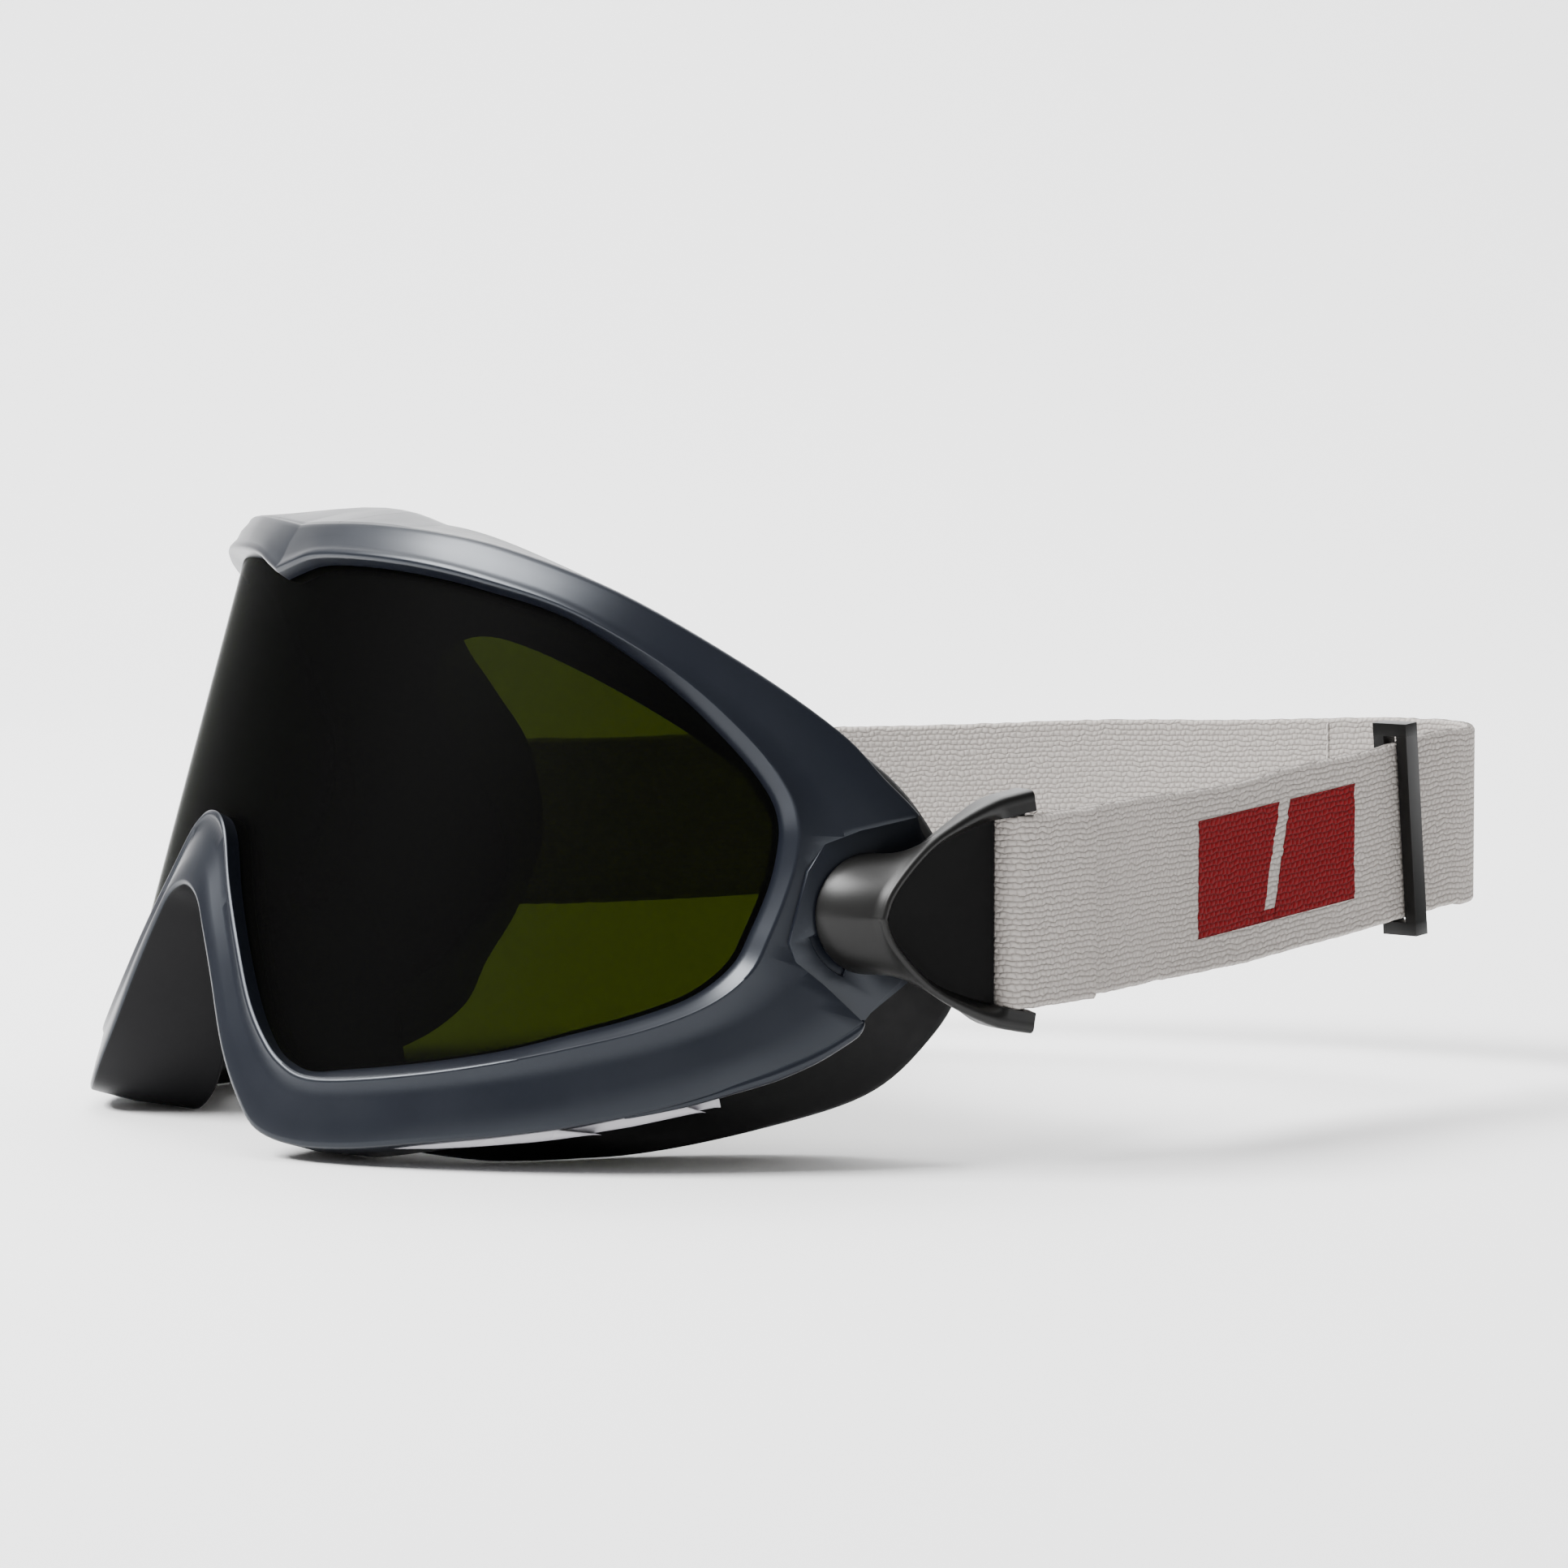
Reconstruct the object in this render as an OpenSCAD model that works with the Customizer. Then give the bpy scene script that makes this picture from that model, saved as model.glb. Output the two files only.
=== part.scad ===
// Welding goggles with a cylindrical filter lens, a soft face seal and an elastic headband.
// +X is the wearer's left, -Y is the front, +Z is up. The goggles rest on the lower edge of the seal.

/* [Lens] */
// Outer radius of the cylindrical lens
lens_r = 80; // [79:0.5:81]
// Thickness of the lens
lens_t = 2; // [1.5:0.1:2.4]
// How far the lens leans back when the goggles rest on a table, in degrees
pitch = 16.5; // [15:0.5:18]

/* [Front frame] */
// How far the frame stands proud of the lens
frame_proud = 2.6; // [2:0.1:3]
// Depth of the lens bezel behind the lens surface
bezel_depth = 4; // [3.6:0.1:4.4]
// Thickness of the rim that runs round the frame
rim_t = 2.5; // [2:0.1:3]
// Distance of the flat temple plate's outer face from the centre plane
plate_x = 75.6; // [75:0.1:76]
// Thickness of the temple plate
plate_t = 3; // [2.6:0.1:3.2]

/* [Headband] */
// Width of the elastic webbing
web_w = 25; // [22:0.5:26]
// Thickness of the elastic webbing
web_t = 1.4; // [1.2:0.1:1.6]
// How far the band rises from the clips to the corner at the back
band_rise = 6; // [4:0.5:8]
// Radius of the pivot pins
pin_r = 3; // [2.5:0.1:3.5]

/* [Slider] */
// Height of the slider across the webbing
slider_h = 30; // [29:0.5:32]
// Length of the slider along the webbing
slider_l = 2.6; // [2.2:0.2:4]

/* [Hidden] */
$fn = 96;

// The goggle's own axes (lens axis upright) to the stored pose: leaned back, resting on the table.
rest_y = -84.85;
rest_z = 41.56;
pivot_y = 56.6;
pivot_z = 8;
band_y = pivot_y * cos(pitch) + pivot_z * sin(pitch) + rest_y;
band_z = pivot_z * cos(pitch) - pivot_y * sin(pitch) + rest_z;
far = 200;
gap = 0.1;

frame_r = lens_r + frame_proud;
bezel_r = lens_r - bezel_depth;
groove = 2.2;
swing_down = 12;
swing_up = 28;
hub_r = 8;
peg_r = 0.9;
peg_orbit = 7;
peg_angle = 215;
slot_r = 8.7;

frame_blue = "#3c4656";
soft_black = "#18191c";
clip_black = "#141414";
web_grey = "#cfcac6";

// ---- curves -------------------------------------------------------------------------------------
// A point of a Catmull-Rom curve between b and c.
function spline_point(a, b, c, d, t) =
    0.5 * (2 * b + (c - a) * t + (2 * a - 5 * b + 4 * c - d) * t * t
           + (3 * b - a - 3 * c + d) * t * t * t);

// A smooth open curve through the points, with n steps in each stretch.
function smooth(points, n = 6) = let (last = len(points) - 1) [
    for (i = [0:last - 1], k = [0:n - 1])
        spline_point(points[max(i - 1, 0)], points[i], points[i + 1], points[min(i + 2, last)], k / n),
    points[last]];

// A smooth closed loop through the points.
function smooth_loop(points, n = 3) = let (m = len(points)) [
    for (i = [0:m - 1], k = [0:n - 1])
        spline_point(points[(i + m - 1) % m], points[i], points[(i + 1) % m], points[(i + 2) % m], k / n)];

// Mirrors an outline that starts and ends on the centre line.
function flip_x(p) = len(p) == 2 ? [-p[0], p[1]] : [-p[0], p[1], p[2]];
function both_halves(half) = concat(half, [for (i = [len(half) - 2:-1:1]) flip_x(half[i])]);

// Moves each point of a closed 2D outline outward by d.
function grown(points, d) = let (m = len(points)) [
    for (i = [0:m - 1])
        let (a = points[(i + m - 1) % m], b = points[(i + 1) % m], t = (b - a) / norm(b - a))
        points[i] + d * [-t[1], t[0]]];

// ---- outlines seen from the front (x, z) --------------------------------------------------------
window_half = [[0, 34], [10, 36], [22, 36.9], [36, 36.9], [49, 35.6], [59.5, 31], [66.5, 24.6], [70.6, 17],
               [71.5, 8], [70.3, -2.5], [66, -11.5], [57, -19], [46, -25], [36, -28.4], [30, -29.4],
               [25, -27.2], [18, -19.8], [11, -10.4], [5, -2.4], [0, 0.3]];
window = both_halves(smooth(window_half, 4));

nose_half = [[0, -10.4], [4.5, -11.6], [8, -15], [12, -21], [18, -29.5], [23, -35.2], [29, -38.4],
             [35, -39.5], [44, -46]];

// ---- outlines seen from the side (y, z) ---------------------------------------------------------
upper_edge = [[-5, 40.6], [-1, 42.2], [3, 43.4], [8, 43.6], [20, 40.7], [34, 34.8], [47, 29.4]];
lower_edge = [[62, -2.4], [53.6, -12], [45, -18.2], [36.9, -23.4], [29, -27.8], [21.6, -31.6],
              [14.6, -35], [8, -38.4], [2, -39.8], [-5, -40.2]];
temple_edge = [[52.4, 25.6], [58.6, 21.4], [65, 15], [66.6, 8], [65.4, 2]];
side_outline = concat(smooth(upper_edge, 4), temple_edge, smooth(lower_edge, 3));
recess = [[46.8, 11], [46.8, 1.6], [48.4, -0.6], [52.2, -2.4], [58, -5.6], [60.4, -7], [70, -7],
          [70, 25], [59.2, 21.6], [58, 20.2], [52, 17], [48.4, 14.4]];

// ---- helpers ------------------------------------------------------------------------------------
// Puts the goggle's own axes into the stored pose.
module leaned() { translate([0, rest_y, rest_z]) rotate([-pitch, 0, 0]) children(); }

// Puts the headband's axes (level, x outward, origin on the pivot axis) into the stored pose.
module level() { translate([0, band_y, band_z]) children(); }

module right_side() { mirror([1, 0, 0]) children(); }

// A wall of the cylinder that the lens belongs to.
module ring(r_in, r_out) {
    translate([0, lens_r, -60]) difference() {
        cylinder(r = r_out, h = 120);
        translate([0, 0, -1]) cylinder(r = r_in, h = 122);
    }
}

// An outline in (x, z) made deep along y, and an outline in (y, z) made wide along x.
module through_y(points) { translate([0, lens_r, 0]) rotate([90, 0, 0]) linear_extrude(far) polygon(points); }
module through_x(points, x0 = -far, x1 = far) {
    translate([x0, 0, 0]) rotate([90, 0, 90]) linear_extrude(x1 - x0) polygon(points);
}

// The lens outline plus d, kept inside the temple plates.
lens_reach = 72.3;
gasket_reach = 71.1;
function pocket(d, reach) = [for (p = grown(window, d)) [max(-reach, min(reach, p[0])), p[1]]];

// ---- goggle body --------------------------------------------------------------------------------
// The rim follows the frame's upper and lower edges.
upper_rim = concat(smooth(upper_edge, 4), [[52.4, 25.6], [58.6, 21.4]],
                   [[58.6, 18.6], [51.4, 22.9]],
                   [for (p = [for (i = [len(upper_edge) - 1:-1:0]) upper_edge[i]]) [p[0], p[1] - rim_t]]);
lower_rim = concat(smooth(lower_edge, 3),
                   [for (i = [len(lower_edge) - 1:-1:0]) [lower_edge[i][0], lower_edge[i][1] + rim_t]]);

module temple_plate() {
    intersection() {
        through_x(recess, plate_x - plate_t, plate_x);
        through_x(side_outline);
    }
}

module temple_holes() {
    translate([plate_x, pivot_y, pivot_z]) rotate([0, 90, 0])
        cylinder(r = pin_r + 0.05, h = 4 * plate_t, center = true);
    stop_slot();
}

// The curved slot that the clip's peg runs in, centred on the pivot.
module stop_slot() {
    slack = asin((peg_r + gap) / peg_orbit);
    a0 = peg_angle - swing_down - slack;
    a1 = peg_angle + swing_up + slack;
    wedge = concat([[0, 0]], [for (k = [0:8]) let (a = a0 + pitch + (a1 - a0) * k / 8)
                              12 * [cos(a), sin(a)]]);
    translate([0, pivot_y, pivot_z]) intersection() {
        translate([plate_x, 0, 0]) rotate([0, 90, 0]) difference() {
            cylinder(r = slot_r, h = 3 * plate_t, center = true);
            cylinder(r = peg_orbit - peg_r - gap, h = 4 * plate_t, center = true);
        }
        through_x(wedge, plate_x - 2 * plate_t, plate_x + 2 * plate_t);
    }
}

brow_wedge = [[1, 43.9], [1, 44.9], [12, 47.7], [12, 43.9]];
module brow_piece(x0, x1) {
    intersection() {
        ring(66.5, 78);
        through_x(brow_wedge, x0, x1);
    }
}

// The bezel and the rims, before anything is cut out of them.
module frame_blank() {
    intersection() {
        ring(bezel_r, frame_r);
        through_x(side_outline);
        translate([-far, -far, -far]) cube([2 * far, far + 46, 2 * far]);
    }
    intersection() {
        ring(78, frame_r);
        through_x(side_outline);
        translate([-far, 45.9, -far]) cube([2 * far, 21, 2 * far]);
    }
    intersection() {
        ring(72.5, frame_r);
        union() {
            through_x(upper_rim);
            through_x(lower_rim);
        }
        translate([-far, -far, -far]) cube([2 * far, far + 50, 2 * far]);
    }
    brow_piece(-9.8, 9.8);
    translate([-9.8, 1, 41]) cube([19.6, 9, 3]);
}

// The window, the grooves for the lens and its gasket, the nose arch and the two temple recesses.
module frame_cuts() {
    through_y(window);
    intersection() {
        ring(lens_r - lens_t - gap, lens_r + gap);
        through_y(pocket(groove + gap, lens_reach + gap));
    }
    intersection() {
        ring(bezel_r + 0.4, lens_r - lens_t);
        through_y(pocket(groove + gap, gasket_reach + gap));
    }
    through_y(both_halves_low(nose_half));
    through_x(recess, plate_x, far);
    through_x(recess, -far, -plate_x);
}

module front_frame() {
    color(frame_blue) leaned() difference() {
        union() {
            difference() {
                frame_blank();
                frame_cuts();
            }
            temple_plate();
            right_side() temple_plate();
        }
        temple_holes();
        right_side() temple_holes();
    }
}

// The region below the nose arch.
function both_halves_low(half) = let (h = smooth(half, 4))
    concat([for (i = [len(h) - 1:-1:1]) flip_x(h[i])], h, [[44, -60], [-44, -60]]);

module lens() {
    color("#0c1a08") leaned() intersection() {
        ring(lens_r - lens_t, lens_r);
        through_y(pocket(groove, lens_reach));
    }
}

module lens_gasket() {
    color(soft_black) leaned() difference() {
        intersection() {
            ring(bezel_r + 0.5, lens_r - lens_t - gap);
            through_y(pocket(groove, gasket_reach));
        }
        through_y(grown(window, -1));
    }
}

// ---- face seal ----------------------------------------------------------------------------------
// Each row is one station of the seal, from the middle of the brow down to the nose: where its wall
// starts behind the bezel, the outer edge of its face flange and the inner edge of that flange.
stations = [
    [[0, 5, 39.3], [0, 29, 41.2], [0, 30.5, 34.6]],
    [[22, 8.8, 39.2], [22, 33.5, 39.2], [20, 33.5, 32.3]],
    [[42, 18.2, 37], [38, 45, 35.2], [37, 42, 27.6]],
    [[55.6, 31, 31.2], [50, 57, 31.2], [46, 51, 22.6]],
    [[63, 42, 23.6], [57, 68, 25], [53, 62.5, 16]],
    [[67.6, 50, 13], [62.5, 76, 14], [57.5, 70.5, 8.6]],
    [[67.6, 50, 2], [66, 77, 2.6], [60, 71, 2]],
    [[64, 44, -8], [65.5, 74, -6.6], [58.5, 67, -3.6]],
    [[57, 36.5, -16.6], [61, 70, -14.4], [54, 61.5, -9.4]],
    [[49.6, 29, -22.2], [54.5, 60, -21.8], [48, 52.5, -15.4]],
    [[42, 22.5, -27.2], [50, 46, -28.8], [43, 42, -21.4]],
    [[35, 17, -31.2], [47, 30, -34], [37, 31.5, -26.6]],
    [[28.5, 13, -32.6], [38.5, 19.5, -36], [28.5, 25.5, -28.4]],
    [[22, 10, -29], [29, 17, -35.4], [21.5, 23.5, -25]],
    [[15.5, 8, -21.5], [19, 18, -28], [15, 22.5, -16.4]],
    [[9.5, 6.6, -14.6], [11, 17.5, -20], [9.4, 21, -9.4]],
    [[4.5, 5.8, -10.4], [5, 17, -14.8], [4.6, 19.8, -5]],
    [[0, 5.5, -9], [0, 16.6, -13], [0, 19.4, -3.6]]];
wall_t = 2.2;
flange_t = 2;
wall_front = smooth_loop(both_halves([for (s = stations) s[0]]));
flange_out = smooth_loop(both_halves([for (s = stations) s[1]]));
flange_in = smooth_loop(both_halves([for (s = stations) s[2]]));

// A closed tube whose section is a list of points at every station.
module loop_solid(sections) {
    n = len(sections);
    m = len(sections[0]);
    polyhedron(points = [for (s = sections, p = s) p],
               faces = [for (i = [0:n - 1], j = [0:m - 1])
                        let (a = i * m + j, b = i * m + (j + 1) % m,
                             c = ((i + 1) % n) * m + (j + 1) % m, d = ((i + 1) % n) * m + j)
                        each [[a, b, c], [a, c, d]]]);
}

function mix(a, b, t) = a + (b - a) * t;
function unit(v) = v / norm(v);

// The wall ends 0.1 mm in front of the flange.
function wall_section(i) = let (
    f = wall_front[i], o = flange_out[i], q = flange_in[i],
    inward = unit(q - o) * wall_t,
    root = mix(o, q, 0.4),
    back = unit(f - root) * 0.15)
    [f, root + back, root + inward + back, f + inward];

function flange_section(i) = let (
    o = flange_out[i], q = flange_in[i],
    f = mix(wall_front[i], wall_front[i], 0),
    rear = unit(mix(o, q, 0.5) - f) * flange_t)
    [o, o + rear, q + rear, q];

module face_seal() { color(soft_black) leaned() loop_solid([for (i = [0:len(wall_front) - 1]) wall_section(i)]); }
module seal_flange() {
    color(soft_black) leaned() loop_solid([for (i = [0:len(wall_front) - 1]) flange_section(i)]);
}

// ---- brow covers and lower vent baffles ---------------------------------------------------------
// Each cover slopes down towards the temple.
brow_slope = [[9.9, 43.9], [9.9, 48], [15, 47.4], [22, 46.1], [29, 44.9], [34, 44.3], [34, 43.9]];
module brow_cover() {
    color(frame_blue) leaned() intersection() {
        brow_piece(9.9, 34);
        through_y(brow_slope);
    }
}
module brow_cover_left() { brow_cover(); }
module brow_cover_right() { right_side() brow_cover(); }

// Three overlapping louvres along the lower edge of the frame.
louvre_y = [11, 26, 38, 48];
louvre_drop = 2.8;
function edge_z(y) = lookup(y, [for (p = lower_edge) if (p[0] >= 2) p]);
module vent_baffle() {
    color(soft_black) leaned() intersection() {
        ring(73.5, 78);
        translate([0, -far, -far]) cube([far, 2 * far, 2 * far]);
        union() for (k = [0:2]) {
            y0 = louvre_y[k];
            y1 = louvre_y[k + 1];
            through_x([[y0, edge_z(y0) - 0.6], [y1, edge_z(y1) - louvre_drop], [y1 + 0.8, edge_z(y1 + 0.8) - 0.5],
                       [y0, edge_z(y0) - 0.2]], 0, far);
        }
    }
}
module vent_baffle_left() { vent_baffle(); }
module vent_baffle_right() { right_side() vent_baffle(); }

// ---- strap clips --------------------------------------------------------------------------------
// The clip stands on the temple plate; its own x starts at the plate's outer face.
clip_lift = 0.3;
wing_x0 = 4.4;
wing_x1 = 6.2;
rim_x = 9.2;
bar_y = 18;
bar_x = 6.6;
bar_r = 1.5;
wing_back = 14.6;
wing_half = [[-3, 0], [-1.4, 3.8], [3.5, 9], [9, 12.4], [14, 14.6], [17, 15.4], [20.4, 16]];

function wing(d) = let (h = smooth(wing_half, 4), up = [for (p = h) [p[0] + (p[0] < 18 ? d * 1.1 : 0), p[1] - d]])
    concat([for (p = up) if (p[1] > 0) p], [for (i = [len(up) - 1:-1:0]) if (up[i][1] > 0) [up[i][0], -up[i][1]]]);

module strap_clip() {
    color(clip_black) level() translate([plate_x, 0, 0]) {
        difference() {
            union() {
                translate([clip_lift, 0, 0]) rotate([0, 90, 0]) cylinder(r = hub_r, h = wing_x1 - clip_lift);
                difference() {
                    through_x(wing(0), wing_x0, rim_x);
                    through_x(wing(1.6), wing_x1, far);
                    translate([-far, wing_back, -14.3]) cube([2 * far, far, 28.6]);
                }
            }
            translate([-1, 0, 0]) rotate([0, 90, 0]) cylinder(r = pin_r + 0.05, h = 5.4);
            translate([-far, wing_back, -14.3]) cube([2 * far, far, 28.6]);
        }
        translate([bar_x, bar_y, -14.4]) cylinder(r = bar_r, h = 28.8);
        translate([-2, peg_orbit * cos(peg_angle), peg_orbit * sin(peg_angle)]) rotate([0, 90, 0])
            cylinder(r = peg_r, h = 2 + clip_lift + 0.2);
    }
}
module strap_clip_left() { strap_clip(); }
module strap_clip_right() { right_side() strap_clip(); }

// The pin's head is on the inside of the temple plate.
module pivot_pin() {
    color("#2a2a2c") level() {
        translate([plate_x - plate_t - 1.5, 0, 0]) rotate([0, 90, 0]) cylinder(r = pin_r, h = plate_t + 5.6);
        translate([plate_x - plate_t - 2.6, 0, 0]) rotate([0, 90, 0]) cylinder(r = 4.6, h = 1.2);
    }
}
module pivot_pin_left() { pivot_pin(); }
module pivot_pin_right() { right_side() pivot_pin(); }

module pivot_washer() {
    color("#3a3a3c") level() translate([plate_x - plate_t - 1.35, 0, 0]) rotate([0, 90, 0]) difference() {
        cylinder(r = 6, h = 1.15);
        translate([0, 0, -1]) cylinder(r = pin_r + 0.05, h = 4);
    }
}
module pivot_washer_left() { pivot_washer(); }
module pivot_washer_right() { right_side() pivot_washer(); }

// ---- webbing ------------------------------------------------------------------------------------
// Plan of the band, from the pivot axis back: x, y and how far it has risen.
run_angle = 18.4;
run_dir = [-sin(run_angle), cos(run_angle)];
run_start = [60, 58.8];
run_length = 55;
run_rise = 0.096;
run_z0 = 0.4;
function on_run(s) = concat(run_start + s * run_dir, [run_z0 + s * run_rise]);
wrap_r = bar_r + web_t / 2 + 0.1;
bar_at = [plate_x + bar_x, bar_y];
function wrap(side, a0, a1) = [for (k = [0:8]) let (a = a0 + (a1 - a0) * k / 8)
    [side * (bar_at[0] + wrap_r * cos(a)), bar_at[1] + wrap_r * sin(a), 0]];
near_flap = [[77.3, 32.4, 0], [79.5, 27.8, 0], [82.6, 22.6, 0]];
near_lead = [[79.1, 23, 0], [77.4, 27, 0], [75.6, 31.4, 0], [70.6, 40.6, 0.1], [65, 49.4, 0.2]];
corner = [[40.6, 115.6, 5.6], [37.6, 119.6, 5.8], [32, 121.6, 6], [24, 121.2, 5.9]];
far_run = [[8, 116.2, 5.2], [-10, 108.4, 4.3], [-28, 98, 3.4], [-44, 85.2, 2.5], [-58, 70.6, 1.5],
           [-69, 52, 0.6], [-73.2, 40.6, 0.2]];
far_lead = [[-75.6, 31.4, 0], [-77.4, 27, 0], [-79.1, 23, 0]];
far_flap = [[-82.6, 22.6, 0], [-79.5, 27.8, 0], [-77.3, 32.4, 0]];
band_path = concat(smooth(near_flap, 3), wrap(1, 35, -180),
                   smooth(concat(near_lead, [on_run(0), on_run(run_length * 0.5), on_run(run_length)],
                                 corner, far_run, far_lead), 4),
                   wrap(-1, -180, 35), smooth(far_flap, 3));

// A ribbon of upright rectangles along a path, with the path on its centre line.
function ribbon_side(path, i) = let (
    a = path[max(i - 1, 0)], b = path[min(i + 1, len(path) - 1)],
    d = unit([b[0] - a[0], b[1] - a[1]])) [d[1], -d[0], 0];
module ribbon(path, t, w, offset_out = 0) {
    n = len(path);
    points = [for (i = [0:n - 1]) let (s = ribbon_side(path, i), c = path[i] + s * offset_out)
              each [c + s * t / 2 + [0, 0, w / 2], c - s * t / 2 + [0, 0, w / 2],
                    c - s * t / 2 - [0, 0, w / 2], c + s * t / 2 - [0, 0, w / 2]]];
    sides = [for (i = [0:n - 2], j = [0:3])
             let (a = i * 4 + j, b = i * 4 + (j + 1) % 4) each [[a, b, b + 4], [a, b + 4, a + 4]]];
    ends = [[3, 2, 1, 0], [n * 4 - 4, n * 4 - 3, n * 4 - 2, n * 4 - 1]];
    polyhedron(points = points, faces = concat(sides, ends));
}

module headband_webbing() { color(web_grey) level() ribbon(band_path, web_t, web_w); }

// Rows of stitches through each folded end, standing on the outer face of the flap.
module end_stitching() {
    color("#e8e6e2") level() translate([78.76, 31, 0]) rotate([0, 0, 25]) {
        for (x = [-1.8, 0]) translate([0, x - 0.4, -11.5]) cube([0.3, 0.8, 23]);
        translate([0, -1.6, -11.5]) cube([0.3, 1.4, 0.8]);
    }
}
module end_stitching_left() { end_stitching(); }
module end_stitching_right() { right_side() end_stitching(); }

module band_seam() {
    color("#dcd8d4") level() translate([7.6, 114.9, 5.2]) rotate([0, 0, -67]) cube([0.5, 1.6, 24], center = true);
}

// Plain printed block with a slanted notch, on the outer face of the near run.
print_l = 34;
print_h = 16;
print_t = 0.12;
module on_band_run(s) { translate(on_run(s)) rotate([0, 0, run_angle]) rotate([atan(run_rise), 0, 0]) children(); }
module band_print() {
    color("#b01626") level() on_band_run(18) translate([web_t / 2 + 0.02, 0, 0]) difference() {
        translate([0, -print_l / 2, -print_h / 2]) cube([print_t, print_l, print_h]);
        through_x([[-2.1, -6.4], [0.3, -6.4], [3, 12], [0.6, 12]], -1, 1);
    }
}

// ---- slider -------------------------------------------------------------------------------------
// A loop round the webbing: one bar lies outside it and the other inside it.
slider_at = 46;
slider_gap = 0.4;
bar_t = 1.8;
module band_slider() {
    x_in = -web_t / 2 - slider_gap - bar_t;
    x_out = web_t / 2 + slider_gap;
    color(clip_black) level() on_band_run(slider_at) {
        for (end = [-1, 1]) translate([x_in, -slider_l / 2, end > 0 ? web_w / 2 + 0.7 : -slider_h / 2])
            cube([x_out + bar_t - x_in, slider_l, slider_h / 2 - web_w / 2 - 0.7]);
        for (x = [x_in, x_out]) translate([x, -slider_l / 2, -slider_h / 2]) cube([bar_t, slider_l, slider_h]);
    }
}

front_frame();
lens();
lens_gasket();
face_seal();
seal_flange();
brow_cover_left();
brow_cover_right();
vent_baffle_left();
vent_baffle_right();
strap_clip_left();
strap_clip_right();
pivot_pin_left();
pivot_pin_right();
pivot_washer_left();
pivot_washer_right();
headband_webbing();
end_stitching_left();
end_stitching_right();
band_seam();
band_print();
band_slider();
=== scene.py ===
"""Looks of the welding goggles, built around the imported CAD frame. All lengths in this file are in
millimetres until a mesh is made. Meshes are in metres, in the frame that the CAD solids use."""
import math

import bmesh
import bpy
import numpy as np
from mathutils import Matrix, Vector


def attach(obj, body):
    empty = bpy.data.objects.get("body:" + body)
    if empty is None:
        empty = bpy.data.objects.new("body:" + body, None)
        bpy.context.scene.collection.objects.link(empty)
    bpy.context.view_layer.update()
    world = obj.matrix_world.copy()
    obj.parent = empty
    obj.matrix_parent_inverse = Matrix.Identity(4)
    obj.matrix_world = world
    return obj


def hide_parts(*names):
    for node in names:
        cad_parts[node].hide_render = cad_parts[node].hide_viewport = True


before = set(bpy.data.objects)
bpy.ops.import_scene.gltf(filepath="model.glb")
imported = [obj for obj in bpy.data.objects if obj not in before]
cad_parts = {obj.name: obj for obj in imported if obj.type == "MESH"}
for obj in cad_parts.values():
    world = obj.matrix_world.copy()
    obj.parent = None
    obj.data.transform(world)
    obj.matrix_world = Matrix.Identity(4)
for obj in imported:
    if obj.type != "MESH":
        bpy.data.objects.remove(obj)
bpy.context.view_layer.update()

# ---- the goggle's own axes and the stored pose ----------------------------------------------------
LENS_R = 80.0
PITCH = math.radians(16.5)
REST_Y, REST_Z = -84.85, 41.56
PIVOT_Y, PIVOT_Z = 56.6, 8.0
PLATE_X, PLATE_T = 75.6, 3.0
BAR_X, BAR_Y, BAR_R, BAR_HALF = 6.6, 18, 1.5, 12.9
FLOOR_GAP, FLOOR_SQUASH = 0.12, 0.04
AZIMUTH, ELEVATION = math.radians(61.5), math.radians(4.5)
BAND_Y = PIVOT_Y * math.cos(PITCH) + PIVOT_Z * math.sin(PITCH) + REST_Y
BAND_Z = PIVOT_Z * math.cos(PITCH) - PIVOT_Y * math.sin(PITCH) + REST_Z


def leaned(p):
    """From the goggle's own upright axes to the pose in which it rests on its lower edge."""
    p = np.asarray(p, float)
    x, y, z = p[..., 0], p[..., 1], p[..., 2]
    return np.stack([x, y * math.cos(PITCH) + z * math.sin(PITCH) + REST_Y,
                     z * math.cos(PITCH) - y * math.sin(PITCH) + REST_Z], axis=-1)


def level(p):
    """From axes at the clips' pivot, with the band level, to the shared frame."""
    return np.asarray(p, float) + np.array([0.0, BAND_Y, BAND_Z])


def on_floor(points):
    """Leans the points, and flattens what would go through the floor."""
    q = leaned(points)
    up = q[..., 2]
    q[..., 2] = np.where(up < FLOOR_GAP, FLOOR_GAP + (up - FLOOR_GAP) * FLOOR_SQUASH, up)
    return q


def on_lens(s, z, h):
    """A point from its arc length round the lens, its height and how far it stands off the lens."""
    a = np.asarray(s, float) / LENS_R
    r = LENS_R + np.asarray(h, float)
    return np.stack([r * np.sin(a), LENS_R - r * np.cos(a), np.broadcast_to(z, a.shape)], axis=-1)


# ---- curves and meshes ----------------------------------------------------------------------------
def between(p, q, t):
    return p + (q - p) * t


def unit(v):
    return v / np.linalg.norm(v)


def spline(points, n, closed=False):
    """Catmull-Rom through the points, with n steps in each stretch."""
    p = np.asarray(points, float)
    m = len(p)
    out = []
    for i in range(m if closed else m - 1):
        if closed:
            a, b, c, d = p[i - 1], p[i], p[(i + 1) % m], p[(i + 2) % m]
        else:
            a, b, c, d = p[max(i - 1, 0)], p[i], p[i + 1], p[min(i + 2, m - 1)]
        for t in np.arange(n) / n:
            out.append(0.5 * (2 * b + (c - a) * t + (2 * a - 5 * b + 4 * c - d) * t * t
                              + (3 * b - a - 3 * c + d) * t ** 3))
    if not closed:
        out.append(p[-1])
    return np.array(out)


def both_halves(half, sign):
    """A half loop from the centre line, made whole; sign says which columns change side."""
    other = half[-2:0:-1] * np.asarray(sign, float)
    return np.concatenate([half, other])


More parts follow.
